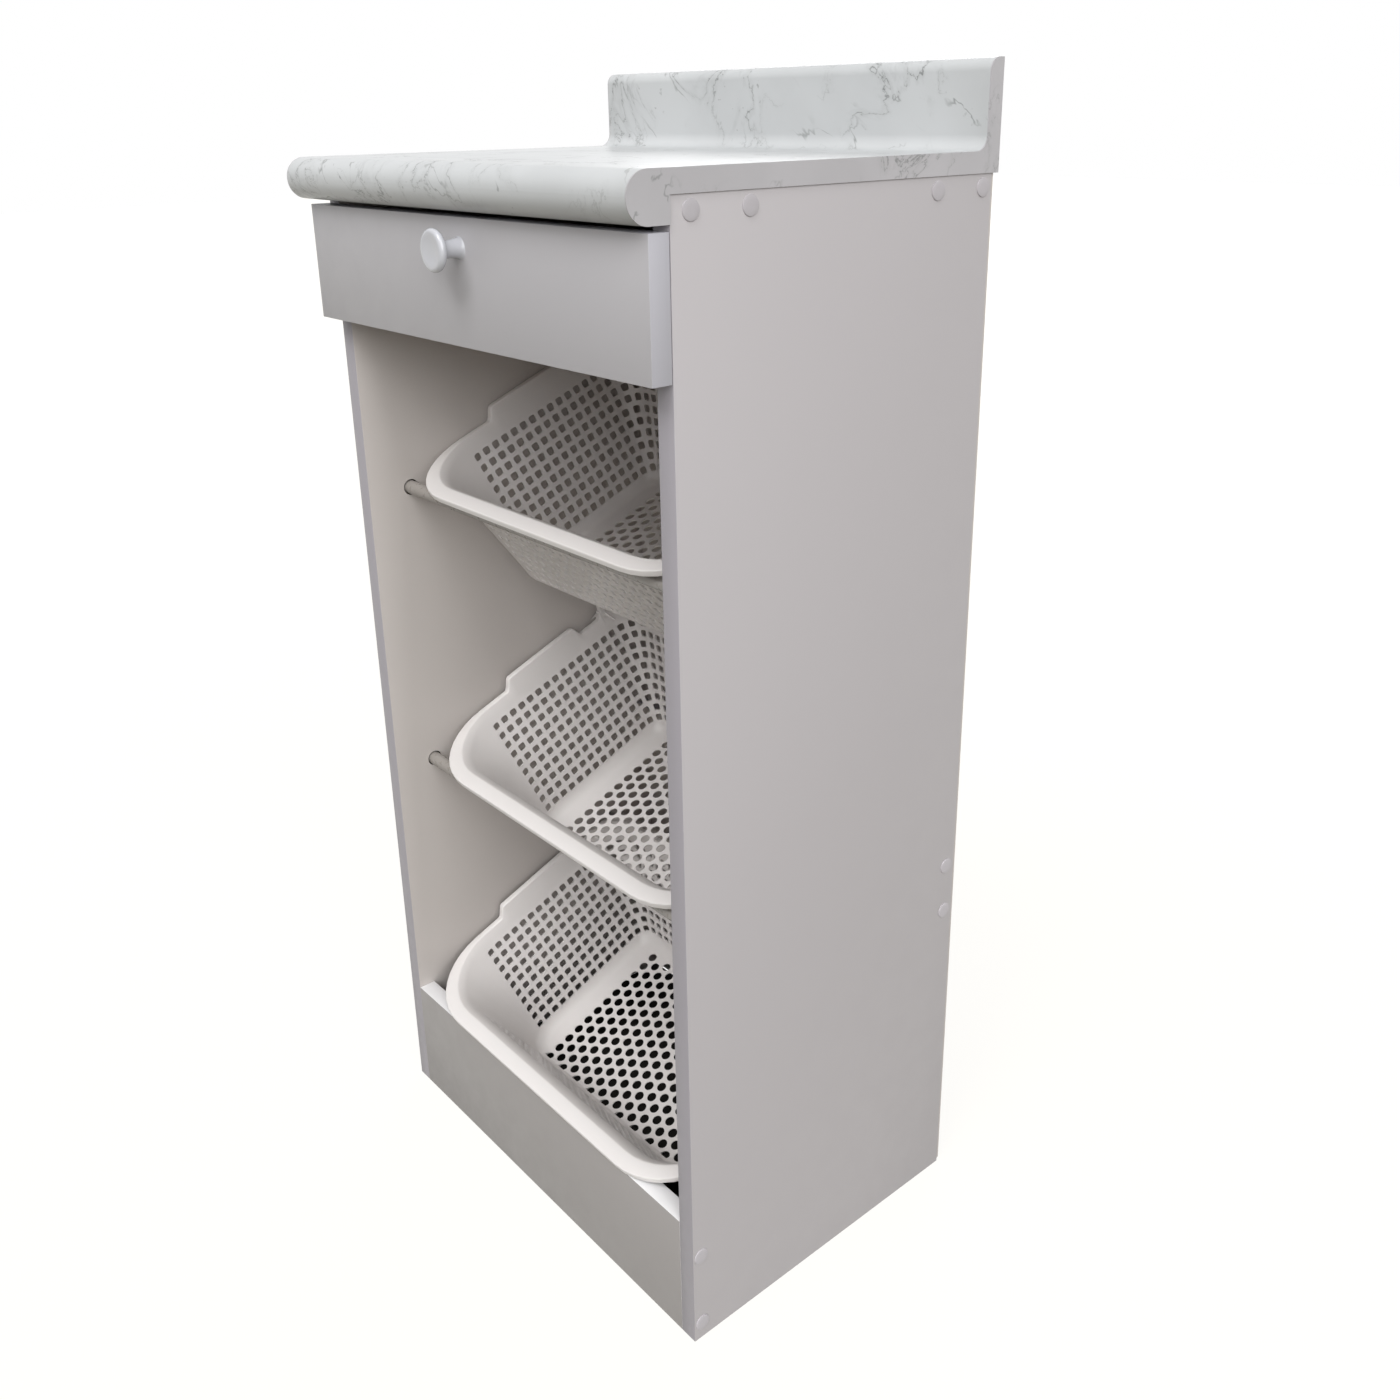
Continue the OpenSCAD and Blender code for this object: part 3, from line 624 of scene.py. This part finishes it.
# Darkest share of the colour, size and contrast of the marks, roughness and its spread, grain, relief
FINISHES = {
    "white_melamine": plain("board", 0.965, 3.0, 1.2, 0.42, 0.05, 700.0, 0.05),
    "front_melamine": plain("front", 0.965, 4.0, 1.2, 0.4, 0.05, 700.0, 0.05),
    # Painted shade: the kickboard's melamine is darkened for the low light near the floor.
    "kick_melamine": plain("kick", 0.965, 4.0, 1.2, 0.4, 0.05, 700.0, 0.05),
    # Inside melamine: own white with a painted warm shade tint.
    "inner_melamine": plain("inner", 0.965, 4.0, 1.2, 0.45, 0.05, 700.0, 0.05),
    "edge_band": plain("edge", 0.96, 9.0, 1.0, 0.36, 0.05, 500.0, 0.04),
    "panel_edge": plain("panel_edge", 0.96, 9.0, 1.0, 0.36, 0.05, 500.0, 0.04),
    "ledge_band": plain("ledge", 0.96, 9.0, 1.0, 0.4, 0.05, 500.0, 0.04),
    "raw_chipboard": lambda name: fibre_finish(
        name, shade(colours().chip, 1.1), shade(colours().chip, 0.45), 420.0, (1.0, 1.0, 1.6)),
    "socket_board": lambda name: fibre_finish(
        name, shade(colours().socket, 1.1), shade(colours().socket, 0.7), 420.0, (1.0, 1.0, 1.0)),
    "hardboard_rear": lambda name: fibre_finish(
        name, shade(colours().hardboard, 1.08), shade(colours().hardboard, 0.7), 800.0, (1.0, 1.0, 1.0), 0.7),
    "worktop_marble": lambda name: marble_finish(name, colours().marble, 0.62, 0.85, 1.0),
    "end_marble": lambda name: marble_finish(name, colours().marble_end, 0.8, 0.7, 1.15),
    "moulded_plastic": plain("plastic", 0.965, 10.0, 1.0, 0.34, 0.06, 600.0, 0.04, coat=0.1, mirror=0.35),
    "knob_plastic": plain("knob", 0.97, 20.0, 1.0, 0.2, 0.03, 400.0, 0.01, coat=0.5, mirror=0.5),
    "cap_plastic": plain("cap", 0.97, 30.0, 1.0, 0.38, 0.04, 900.0, 0.03),
    "rod_paint": plain("rod", 0.93, 14.0, 1.2, 0.3, 0.06, 500.0, 0.04, coat=0.2, mirror=0.4),
    "runner_coat": plain("runner", 0.93, 16.0, 1.2, 0.38, 0.06, 1500.0, 0.12),
    "turned_nylon": plain("nylon", 0.9, 40.0, 1.2, 0.5, 0.06, 900.0, 0.05),
    "zinc_plate": plain("zinc", 0.8, 90.0, 1.4, 0.34, 0.08, 1200.0, 0.08, metallic=1.0, mirror=0.5),
    "floor_paint": lambda name: glowing(plain("floor", 0.98, 0.7, 1.0, 0.8, 0.02, 200.0, 0.02)(name)),
    "shaded_floor_paint": plain("shaded_floor", 0.9, 8.0, 1.0, 0.9, 0.02, 200.0, 0.02),
}


def finish(name):
    return bpy.data.materials.get(name) or FINISHES[name](name)


# Rules that say which finish a face gets


def edged_panel(face):
    """Melamine outside and inside, band in front, bare board behind, above and below, and a dark board in the
    sockets whose darkness is painted shade.
    """
    low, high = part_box("side_panel_right" if face.center.x > 0 else "side_panel_left")
    into = face.center.x - low.x if face.center.x > 0 else high.x - face.center.x
    away = min(face.center.y - low.y, high.y - face.center.y, face.center.z - low.z, high.z - face.center.z)
    # Faces deep in a socket get the dark socket board, painted shade in the hole.
    if away > MM and MM < into < high.x - low.x - MM:
        return 4
    if face.normal.y < -0.7:
        return 1
    if face.normal.y > 0.9 or abs(face.normal.z) > 0.9:
        return 2
    return 0 if into > (high.x - low.x) / 2 else 3


def banded_front(face):
    """Melamine in front and behind, band all round."""
    return 0 if abs(face.normal.y) > 0.7 else 1


def flat_board(face):
    """Melamine above and below, band in front, bare board at the other edges."""
    if abs(face.normal.z) > 0.7:
        return 0
    return 1 if face.normal.y < -0.7 else 2


def banded_top(face):
    """Melamine in front, band on the upper edge, bare board below."""
    if abs(face.normal.y) > 0.7:
        return 0
    return 1 if face.normal.z > -0.7 else 2


# Pieces


BOARD_FINISHES = ("inner_melamine", "panel_edge", "raw_chipboard")
PANEL_FINISHES = ("white_melamine", "panel_edge", "raw_chipboard", "inner_melamine", "socket_board")
KICK_FINISHES = ("kick_melamine", "ledge_band", "raw_chipboard")
RODS = ("front_rod_upper", "front_rod_middle", "rear_rod_upper", "rear_rod_middle", "rear_rod_lower")


class CABINET_OT_side_panels(Operator):
    """Cuts the two side panels and bores the sockets of the rods"""

    bl_idname = "cabinet.side_panels"
    bl_label = "Side Panels"

    def execute(self, context):
        sizes = boards()
        for side, sign in SIDES:
            node_name = "side_panel_" + side
            low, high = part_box(node_name)
            panel = cut_board(side + "_side_panel", low, high)
            inner = low.x if sign > 0 else high.x
            for rod in RODS:
                rod_low, rod_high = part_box(rod)
                middle = (rod_low + rod_high) / 2
                radius = sizes.socket_radius
                drill = lathe("drill", [(radius, 0.0), (radius, 2 * sizes.socket_depth)], 32)
                along_x(drill, (inner - sizes.socket_depth, middle.y, middle.z))
                carve(panel, drill)
            finish_piece(panel, "carcass", PANEL_FINISHES, [node_name], edged_panel)
        return {"FINISHED"}


class CABINET_OT_carcass_boards(Operator):
    """Cuts the kickboard, the rails and the back panel"""

    bl_idname = "cabinet.carcass_boards"
    bl_label = "Carcass Boards"

    def execute(self, context):
        low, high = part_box("kickboard")
        kick = cut_board("front_kickboard", low, high)
        finish_piece(kick, "carcass", KICK_FINISHES, ["kickboard"], banded_top)
        for node_name in ("top_rail_front", "top_rail_rear"):
            rail = cut_board("board_" + node_name, *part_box(node_name))
            finish_piece(rail, "carcass", BOARD_FINISHES, [node_name], flat_board)
        rail = cut_board("board_low_rail", *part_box("low_rail_rear"))
        finish_piece(rail, "carcass", BOARD_FINISHES, ["low_rail_rear"], banded_top)
        rear = cut_board("rear_hardboard", *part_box("back_panel"))
        finish_piece(rear, "carcass", ("inner_melamine", "hardboard_rear"), ["back_panel"],
                     lambda face: 1 if face.normal.y > 0.9 else 0)
        return {"FINISHED"}


def worktop_profile(name, low, high):
    """The worktop between two corners: slab, nose drawn down, upstand drawn up, all rounded."""
    sizes = boards()
    nose_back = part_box("side_panel_right")[0].y
    upstand_front = high.y - sizes.upstand
    slab_low = low.z + sizes.nose - sizes.slab
    piece = block(name, (low.x, low.y, slab_low), (high.x, high.y, slab_low + sizes.slab))
    open_mesh(piece)
    for cut in (nose_back, upstand_front):
        mark_all()
        bpy.ops.mesh.bisect(plane_co=(0, cut, 0), plane_no=(0, 1, 0))
    mark("FACE", lambda face: face.normal.z < -0.9 and face.calc_center_median().y < nose_back)
    bpy.ops.mesh.extrude_region_move(TRANSFORM_OT_translate={"value": (0, 0, low.z - slab_low)})
    mark("FACE", lambda face: face.normal.z > 0.9 and face.calc_center_median().y > upstand_front)
    bpy.ops.mesh.extrude_region_move(TRANSFORM_OT_translate={"value": (0, 0, high.z - slab_low - sizes.slab)})

    def runs_across(edge, y, z):
        middle = edge_middle(edge)
        across = abs(edge.verts[0].co.x - edge.verts[1].co.x) > 0.5 * (high.x - low.x)
        return across and abs(middle.y - y) < MM and abs(middle.z - z) < MM

    top = slab_low + sizes.slab
    mark("EDGE", lambda edge: runs_across(edge, low.y, low.z) or runs_across(edge, low.y, top))
    bpy.ops.mesh.bevel(offset=0.497 * sizes.nose, segments=14, affect="EDGES")
    mark("EDGE", lambda edge: runs_across(edge, upstand_front, top))
    bpy.ops.mesh.bevel(offset=sizes.cove, segments=12, affect="EDGES")
    mark("EDGE", lambda edge: runs_across(edge, upstand_front, high.z))
    bpy.ops.mesh.bevel(offset=sizes.crest, segments=10, affect="EDGES")
    close_mesh()
    return piece


class CABINET_OT_worktop(Operator):
    """Shapes the marble worktop and glues the laminate to its ends"""

    bl_idname = "cabinet.worktop"
    bl_label = "Worktop"

    def execute(self, context):
        top = worktop_profile("marble_worktop", *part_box("worktop"))
        finish_piece(top, "carcass", ("worktop_marble", "raw_chipboard"), ["worktop"],
                     lambda face: 1 if face.normal.z < -0.9 and face.center.y > -0.1 else 0)
        for side, sign in SIDES:
            node_name = "worktop_end_" + side
            end = worktop_profile("marble_end_" + side, *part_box(node_name))
            finish_piece(end, "carcass", ("end_marble",), [node_name])
        return {"FINISHED"}


class CABINET_OT_cover_caps(Operator):
    """Presses a plastic cap over each screw in the side panels"""

    bl_idname = "cabinet.cover_caps"
    bl_label = "Cover Caps"

    def execute(self, context):
        panel_low, panel_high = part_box("side_panel_left")
        edge = boards().cap_dome
        caps = []
        for low, high in loose_boxes("cover_caps"):
            middle = (low + high) / 2
            radius = (high.y - low.y) / 2
            right = middle.x > 0
            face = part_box("side_panel_right")[1].x if right else panel_low.x
            proud = (high.x - face) if right else (face - low.x)
            outline = [(radius, 0.0), (radius, proud - edge), (radius - 0.4 * edge, proud - 0.4 * edge),
                       (radius - 1.4 * edge, proud - 0.1 * edge), (0.4 * radius, proud)]
            cap = lathe("cap", outline, 40)
            cap.rotation_euler = (0, math.radians(90 if right else -90), 0)
            cap.location = (face, middle.y, middle.z)
            caps.append(settle(cap))
        finish_piece(join("screw_cover_caps", caps), "carcass", ("cap_plastic",),
                     ["cover_caps"])
        return {"FINISHED"}


class CABINET_OT_rods(Operator):
    """Turns the five rods that carry the baskets"""

    bl_idname = "cabinet.rods"
    bl_label = "Basket Rods"

    def execute(self, context):
        soft = boards().rod_softness
        for node_name in RODS:
            low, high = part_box(node_name)
            radius = (high.z - low.z) / 2
            reach = high.x - low.x
            outline = [(radius - soft, 0.0), (radius, soft), (radius, reach - soft), (radius - soft, reach)]
            rod = lathe("turned_" + node_name, outline, 40)
            along_x(rod, (low.x, (low.y + high.y) / 2, (low.z + high.z) / 2))
            finish_piece(rod, "carcass", ("rod_paint",), [node_name])
        return {"FINISHED"}


class CABINET_OT_drawer_box(Operator):
    """Cuts the boards of the drawer"""

    bl_idname = "cabinet.drawer_box"
    bl_label = "Drawer Box"

    def execute(self, context):
        front = cut_board("drawer_front_board", *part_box("drawer_front"))
        finish_piece(front, "drawer", ("front_melamine", "edge_band"), ["drawer_front"],
                     banded_front)
        for node_name in ("drawer_side_left", "drawer_side_right", "drawer_back"):
            wall = cut_board("board_" + node_name, *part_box(node_name))
            finish_piece(wall, "drawer", BOARD_FINISHES, [node_name],
                         lambda face: 0 if abs(face.normal.z) < 0.7 else 1)
        floor = cut_board("drawer_floor", *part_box("drawer_bottom"))
        finish_piece(floor, "drawer", ("inner_melamine", "hardboard_rear"), ["drawer_bottom"],
                     lambda face: 0 if face.normal.z > 0.7 else 1)
        blocks = []
        for low, high in loose_boxes("corner_blocks"):
            blocks.append(cut_board("block", low, high))
        finish_piece(join("drawer_corner_blocks", blocks), "drawer", ("cap_plastic",),
                     ["corner_blocks"])
        return {"FINISHED"}


class CABINET_OT_knob(Operator):
    """Turns the knob of the drawer"""

    bl_idname = "cabinet.knob"
    bl_label = "Knob"

    def execute(self, context):
        sizes = boards()
        low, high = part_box("knob")
        radius = (high.z - low.z) / 2
        reach = high.y - low.y
        disc = sizes.knob_disc
        stem = reach - disc
        half = disc / 2
        edge = [(radius - half + half * math.cos(angle), stem + half + half * math.sin(angle))
                for angle in (math.radians(step) for step in range(-75, 91, 15))]
        dish = [((radius - half) * share, reach - sizes.knob_dish * (1 - share * share))
                for share in (0.8, 0.55, 0.25)]
        waist = [(sizes.knob_foot, 0.0), (sizes.knob_foot - 0.9 * MM, 1.2 * MM), (6.7 * MM, 4.5 * MM),
                 (sizes.knob_waist, 0.45 * stem), (sizes.knob_waist, 0.72 * stem),
                 (7.2 * MM, 0.88 * stem), (sizes.knob_neck, stem)]
        knob = lathe("turned_knob", waist + edge + dish, 64)
        knob.rotation_euler = (math.radians(90), 0, 0)
        knob.location = ((low.x + high.x) / 2, high.y, (low.z + high.z) / 2)
        finish_piece(settle(knob), "drawer", ("knob_plastic",), ["knob"], angle=50)
        return {"FINISHED"}


class CABINET_OT_rollers(Operator):
    """Turns the four rollers of the drawer runners"""

    bl_idname = "cabinet.rollers"
    bl_label = "Runner Rollers"

    def execute(self, context):
        places = ("cabinet", "drawer")
        for node_name in [place + "_roller_" + side for place in places for side, sign in SIDES]:
            low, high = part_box(node_name)
            radius = (high.z - low.z) / 2
            width = high.x - low.x
            soft = 0.08 * radius
            hub, web = 0.42 * radius, 0.72 * radius
            sink = 0.16 * width
            outline = [(hub, 0.0), (hub + soft, sink), (web, sink), (web + soft, 0.0), (radius - soft, 0.0),
                       (radius, soft), (radius, width - soft), (radius - soft, width), (web + soft, width),
                       (web, width - sink), (hub + soft, width - sink), (hub, width)]
            roller = lathe("turned_" + node_name, outline, 48)
            along_x(roller, (low.x, (low.y + high.y) / 2, (low.z + high.z) / 2))
            finish_piece(roller, node_name, ("turned_nylon",), [node_name])
        return {"FINISHED"}


class CABINET_OT_ironmongery(Operator):
    """Finishes the runners, screws and nails as the frame has them"""

    bl_idname = "cabinet.ironmongery"
    bl_label = "Runners And Screws"

    def execute(self, context):
        coats = {"runner_coat": ("runner_left", "runner_right"), "zinc_plate": ("screws", "screw", "nails")}
        for coat, endings in coats.items():
            for node_name in [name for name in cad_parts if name.endswith(endings)]:
                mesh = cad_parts[node_name].data
                mesh.materials.clear()
                mesh.materials.append(finish(coat))
        return {"FINISHED"}


# The basket, moulded once in its own frame and hung three times


FILLET_STEPS = 5
SLOPE_STEPS = 6
CORNER_STEPS = 10
RING = 4 * (CORNER_STEPS + 1)


def basket_levels():
    """Outlines of the moulding from the floor up: half width, front, rear, height, front and rear corners."""
    b = baskets()
    knee = b.depth - b.fillet
    mouth_half = b.rim_half - b.side_flange
    rear = b.rim_length - b.rear_flange
    mouth_corner = b.rim_corner - 5 * MM
    rear_corner = b.rear_rim_corner - 9 * MM

    def wall_half(depth):
        return mouth_half - b.side_lean * depth

    def wall_rear(depth):
        return rear - b.rear_lean * depth

    levels = []
    for step in range(FILLET_STEPS + 1):
        angle = math.radians(90 - 90 / FILLET_STEPS * step)
        inset = b.fillet * (1 - math.cos(angle))
        drop = knee + b.fillet * math.sin(angle)
        tighter = 0.6 * inset
        levels.append((wall_half(knee) - 0.78 * inset, b.foot_front + inset, wall_rear(knee) - inset, -drop,
                       b.foot_corner - tighter, b.rear_foot_corner - tighter))
    return levels + [
        (wall_half(b.shoulder), b.shoulder_front, wall_rear(b.shoulder), -b.shoulder,
         mouth_corner - 4 * MM, rear_corner - MM),
        (mouth_half, b.front_flange, rear, 0.0, mouth_corner, rear_corner),
        (b.rim_half, 0.0, b.rim_length, 0.0, b.rim_corner, b.rear_rim_corner),
        (b.rim_half, 0.0, b.rim_length, -b.lip, b.rim_corner, b.rear_rim_corner),
    ]


def outline_ring(half, front, rear, height, front_corner, rear_corner):
    """One closed outline of the moulding with its corners rounded."""
    put_down()
    bpy.ops.mesh.primitive_plane_add(size=1, location=(0, (front + rear) / 2, height))
    ring = bpy.context.object
    ring.scale = (2 * half, rear - front, 1)
    settle(ring)
    open_mesh(ring)
    mark("VERT", lambda corner: corner.co.y > rear - MM)
    bpy.ops.mesh.bevel(offset=rear_corner, segments=CORNER_STEPS, affect="VERTICES")
    mark("VERT", lambda corner: corner.co.y < front + MM)
    bpy.ops.mesh.bevel(offset=front_corner, segments=CORNER_STEPS, affect="VERTICES")
    mark_all()
    bpy.ops.mesh.delete(type="ONLY_FACE")
    close_mesh()
    return ring


def slope_steps():
    """Steps of a soft slope: the share of its length and of its height."""
    shares = [step / SLOPE_STEPS for step in range(SLOPE_STEPS + 1)]
    return [(share, share * share * (3 - 2 * share)) for share in shares]


def mould_basket():
    """The closed moulding without its holes."""
    b = baskets()
    rings = [outline_ring(*level) for level in basket_levels()]
    steps = len(rings) - 1
    piece = join("moulded_basket", rings)
    open_mesh(piece)
    for low in range(steps):
        def in_pair(edge):
            owners = {corner.index // RING for corner in edge.verts}
            return len(owners) == 1 and owners <= {low, low + 1}

        mark("EDGE", in_pair)
        bpy.ops.mesh.bridge_edge_loops()
    mark("EDGE", lambda edge: all(corner.index < RING for corner in edge.verts))
    bpy.ops.mesh.edge_face_add()

    rim_height = -0.5 * (b.shoulder + b.lip)
    tiny = 0.1 * MM
    lifts = []
    for share, level in slope_steps():
        for place in (b.grip_start - b.grip_ramp * (1 - share), b.grip_end + b.grip_ramp * (1 - share)):
            lifts.append((place, place, level * b.grip_rise, b.rim_half - b.side_flange - MM))
    slope = [(b.rear_start + b.rear_ramp * (2 * share - 1), level) for share, level in slope_steps()]
    ends = [place for place, level in slope[1:]] + [b.rim_length]
    for (place, level), end in zip(slope, ends):
        lifts.append((place, end - 2 * tiny, level * b.rear_rise, 0.0))
    for place, end, rise, least in lifts:
        mark("FACE", lambda face: all(corner.co.z > -b.shoulder - MM for corner in face.verts))
        bpy.ops.mesh.bisect(plane_co=(0, place, 0), plane_no=(0, 1, 0))
    for place, end, rise, least in lifts:
        mark("VERT", lambda corner: corner.co.z > rim_height and abs(corner.co.x) >= least
             and place - tiny < corner.co.y < end + 2 * tiny)
        bpy.ops.transform.translate(value=(0, 0, rise))

    mark_all()
    bpy.ops.mesh.normals_make_consistent(inside=False)
    shape = bmesh.from_edit_mesh(piece.data)
    floor = max(shape.faces, key=lambda face: len(face.verts))
    if floor.normal.z < 0:
        bpy.ops.mesh.flip_normals()
    close_mesh()

    pick_up(piece)
    soft = piece.modifiers.new("Soft rim", "BEVEL")
    soft.width = b.rim_softness
    soft.segments = 3
    soft.limit_method = "ANGLE"
    soft.angle_limit = math.radians(38)
    bpy.ops.object.modifier_apply(modifier=soft.name)
    shell = piece.modifiers.new("Wall", "SOLIDIFY")
    shell.thickness = b.wall
    shell.offset = -1.0
    shell.use_even_offset = True
    bpy.ops.object.modifier_apply(modifier=shell.name)
    return piece


def slot_punch():
    """A short bar along x with rounded long edges that is wider where it leaves the wall."""
    b = baskets()
    inner, outer = -2.5 * MM, 4.5 * MM
    half = b.slot_size / 2
    punch = block("punch", (inner, -half, -half), (outer, half, half))
    open_mesh(punch)
    mark("EDGE", lambda edge: abs(edge.verts[0].co.x - edge.verts[1].co.x) > MM)
    bpy.ops.mesh.bevel(offset=0.24 * b.slot_size, segments=2, affect="EDGES")
    flare = b.slot_flare / b.wall / b.slot_size
    for end in (inner, outer):
        mark("VERT", lambda corner: abs(corner.co.x - end) < 0.1 * MM)
        ratio = 1 + flare * end
        bpy.ops.transform.resize(value=(1, ratio, ratio), center_override=(end, 0, 0))
    close_mesh()
    return punch


def wall_slots():
    """Place, direction, width and height of every slot in the walls."""
    b = baskets()
    knee = b.depth - b.fillet
    mouth_half = b.rim_half - b.side_flange
    rear = b.rim_length - b.rear_flange
    top_front = b.rim_corner - 9 * MM
    top_rear = b.rear_rim_corner - 10 * MM
    spots = []

    def pair(x, y, depth, angle, wide=1.0):
        spots.extend([(x, y, -depth, angle, wide, 1.0), (-x, y, -depth, 180.0 - angle, wide, 1.0)])

    def row_across(y, depth, angle, columns, size=1.0):
        for column in range(-columns, columns + 1):
            spots.append((column * b.slot_pitch, y, -depth, angle, size, size))

    for row in range(b.rows):
        depth = b.slot_top + row * b.slot_pitch
        share = (depth - b.shoulder) / (knee - b.shoulder)
        corner = top_rear + share * (b.rear_foot_corner - top_rear)
        half = mouth_half - b.side_lean * depth
        back = rear - b.rear_lean * depth
        front = b.shoulder_front + share * (b.foot_front - b.shoulder_front)
        last = b.slot_first
        while last < back - corner:
            pair(half, last, depth, 0.0)
            last += b.slot_pitch
        last -= b.slot_pitch
        columns = int((half - corner) / b.slot_pitch)
        straight = back - corner - last
        turn = corner * math.pi / 2
        way = straight + turn + half - corner - columns * b.slot_pitch
        between = max(1, round(way / b.slot_pitch) - 1)
        step = way / (between + 1)
        for column in range(1, between + 1):
            gone = column * step
            angle = min(max(gone - straight, 0.0) / turn, 1.0) * math.pi / 2
            x = half - corner + corner * math.cos(angle) - max(gone - straight - turn, 0.0)
            y = back - corner + corner * math.sin(angle) - max(straight - gone, 0.0)
            pair(x, y, depth, math.degrees(angle), min(1.0, step / b.slot_pitch))
        row_across(back, depth, 90.0, columns)
        if row > 0:
            front_corner = top_front + share * (b.foot_corner - top_front)
            row_across(front, depth, -90.0, int((half - front_corner) / b.slot_pitch), b.front_slots)
    return spots


def punches():
    """All the slot and hole cutters, joined."""
    b = baskets()
    master = slot_punch()
    made = []
    for x, y, z, angle, wide, high in wall_slots():
        place = Matrix.Translation((x, y, z)) @ Matrix.Rotation(math.radians(angle), 4, "Z")
        made.append(copy_of(master, "punch", place @ Matrix.Diagonal((1.0, wide, high, 1.0))))
    bpy.data.objects.remove(master)
    radius = b.hole_size / 2
    reach = 1.5 * b.wall
    drill = lathe("drill", [(radius + 0.75 * b.hole_flare, -reach), (radius, 0.0), (radius, reach)], 14)
    columns, rows = b.floor_columns, b.floor_rows
    for column in range(-columns, columns + 1):
        first = b.hole_first - (0.5 * b.hole_along if column % 2 else 0.0)
        for row in range(rows + (1 if column % 2 else 0)):
            x = column * b.hole_across
            y = first + row * b.hole_along
            made.append(copy_of(drill, "drill", Matrix.Translation((x, y, -b.depth))))
    bpy.data.objects.remove(drill)
    return join("punches", made)


class CABINET_OT_baskets(Operator):
    """Moulds one perforated basket and hangs three of them"""

    bl_idname = "cabinet.baskets"
    bl_label = "Baskets"

    def execute(self, context):
        b = baskets()
        moulded = mould_basket()
        carve(moulded, punches())
        for place in ("top", "middle", "bottom"):
            node_name = "basket_" + place
            low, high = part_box(node_name)
            basket = copy_of(moulded, "moulded_" + node_name, Matrix.Rotation(b.tilt, 4, "X"))
            corners = [corner.co for corner in basket.data.vertices]
            own_low = Vector([min(corner[axis] for corner in corners) for axis in range(3)])
            own_high = Vector([max(corner[axis] for corner in corners) for axis in range(3)])
            basket.location = (low + high) / 2 - (own_low + own_high) / 2
            finish_piece(settle(basket), node_name, ("moulded_plastic",), [node_name],
                         angle=32)
        bpy.data.objects.remove(moulded)
        return {"FINISHED"}


class CABINET_OT_stage(Operator):
    """Sets up the floor, the light and the camera"""

    bl_idname = "cabinet.stage"
    bl_label = "Stage"

    def execute(self, context):
        s = context.scene.cabinet_stage
        put_down()
        bpy.ops.mesh.primitive_plane_add(size=s.floor_side)
        floor = rename(bpy.context.object, "studio_floor")
        floor.data.materials.append(finish("floor_paint"))
        # A dark sheet on the floor inside the plinth: painted shade, so that the holes of the lowest basket
        # look black.
        low = Vector((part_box("side_panel_left")[1].x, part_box("kickboard")[1].y, 0.2 * MM))
        high = Vector((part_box("side_panel_right")[0].x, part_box("back_panel")[0].y, 0.2 * MM))
        bpy.ops.mesh.primitive_plane_add(size=1, location=(low + high) / 2)
        shaded = bpy.context.object
        shaded.scale = (high.x - low.x, high.y - low.y, 1)
        rename(settle(shaded), "floor_in_the_plinth")
        shaded.data.materials.append(finish("shaded_floor_paint"))

        world = bpy.data.worlds.new("Studio")
        world.use_nodes = True
        context.scene.world = world
        tree = world.node_tree
        sky = tree.nodes["Background"]
        level = ranged(tree, background_rays(tree), 0.0, 1.0, s.sky, 1.0)
        sky.inputs["Color"].default_value = (1, 1, 1, 1)
        tree.links.new(level, sky.inputs["Strength"])

        # Name, strength, softness, turn to the right of the front and height, in degrees
        lamps = (("front_light", s.front_light, 30, 8, 55),
                 ("side_light", s.side_light, 55, 65, 28),
                 ("rear_light", s.rear_light, 40, 212, 12))
        put_down()
        for name, strength, softness, turn, height in lamps:
            turn, height = math.radians(turn), math.radians(height)
            flat = math.cos(height)
            away = Vector((math.sin(turn) * flat, -math.cos(turn) * flat, math.sin(height)))
            bpy.ops.object.light_add(type="SUN", location=3 * away)
            lamp = bpy.context.object
            lamp.name = lamp.data.name = name
            lamp.data.energy = strength
            lamp.data.angle = math.radians(softness)
            lamp.rotation_euler = away.to_track_quat("Z", "Y").to_euler()

        bpy.ops.object.camera_add(location=s.eye, rotation=Euler(s.aim))
        camera = bpy.context.object
        camera.name = camera.data.name = "photo_camera"
        camera.data.sensor_width = 36.0
        camera.data.lens = s.lens
        camera.data.shift_y = s.shift
        camera.data.clip_end = 100.0
        context.scene.camera = camera
        context.scene.view_settings.view_transform = "Standard"
        put_down()
        return {"FINISHED"}


class CABINET_PT_sidebar(Panel):
    """Lists the pieces in the sidebar"""

    bl_idname = "CABINET_PT_sidebar"
    bl_label = "Basket Cabinet"
    bl_space_type = "VIEW_3D"
    bl_region_type = "UI"
    bl_category = "Cabinet"

    def draw(self, context):
        for piece in PIECES:
            self.layout.operator(piece.bl_idname)


PIECES = (
    CABINET_OT_side_panels,
    CABINET_OT_carcass_boards,
    CABINET_OT_worktop,
    CABINET_OT_cover_caps,
    CABINET_OT_rods,
    CABINET_OT_drawer_box,
    CABINET_OT_knob,
    CABINET_OT_rollers,
    CABINET_OT_ironmongery,
    CABINET_OT_baskets,
    CABINET_OT_stage,
)
SETTINGS = {
    "cabinet_colours": CabinetColours,
    "cabinet_boards": BoardSizes,
    "cabinet_baskets": BasketSizes,
    "cabinet_stage": StageSettings,
}


def register():
    for group_class in SETTINGS.values():
        bpy.utils.register_class(group_class)
    for name, group_class in SETTINGS.items():
        setattr(bpy.types.Scene, name, PointerProperty(type=group_class))
    for operator in PIECES:
        bpy.utils.register_class(operator)
    bpy.utils.register_class(CABINET_PT_sidebar)


def unregister():
    bpy.utils.unregister_class(CABINET_PT_sidebar)
    for operator in reversed(PIECES):
        bpy.utils.unregister_class(operator)
    for name, group_class in SETTINGS.items():
        delattr(bpy.types.Scene, name)
        bpy.utils.unregister_class(group_class)


def main():
    register()
    for operator in PIECES:
        family, name = operator.bl_idname.split(".")
        getattr(getattr(bpy.ops, family), name)()


if __name__ == "__main__":
    main()
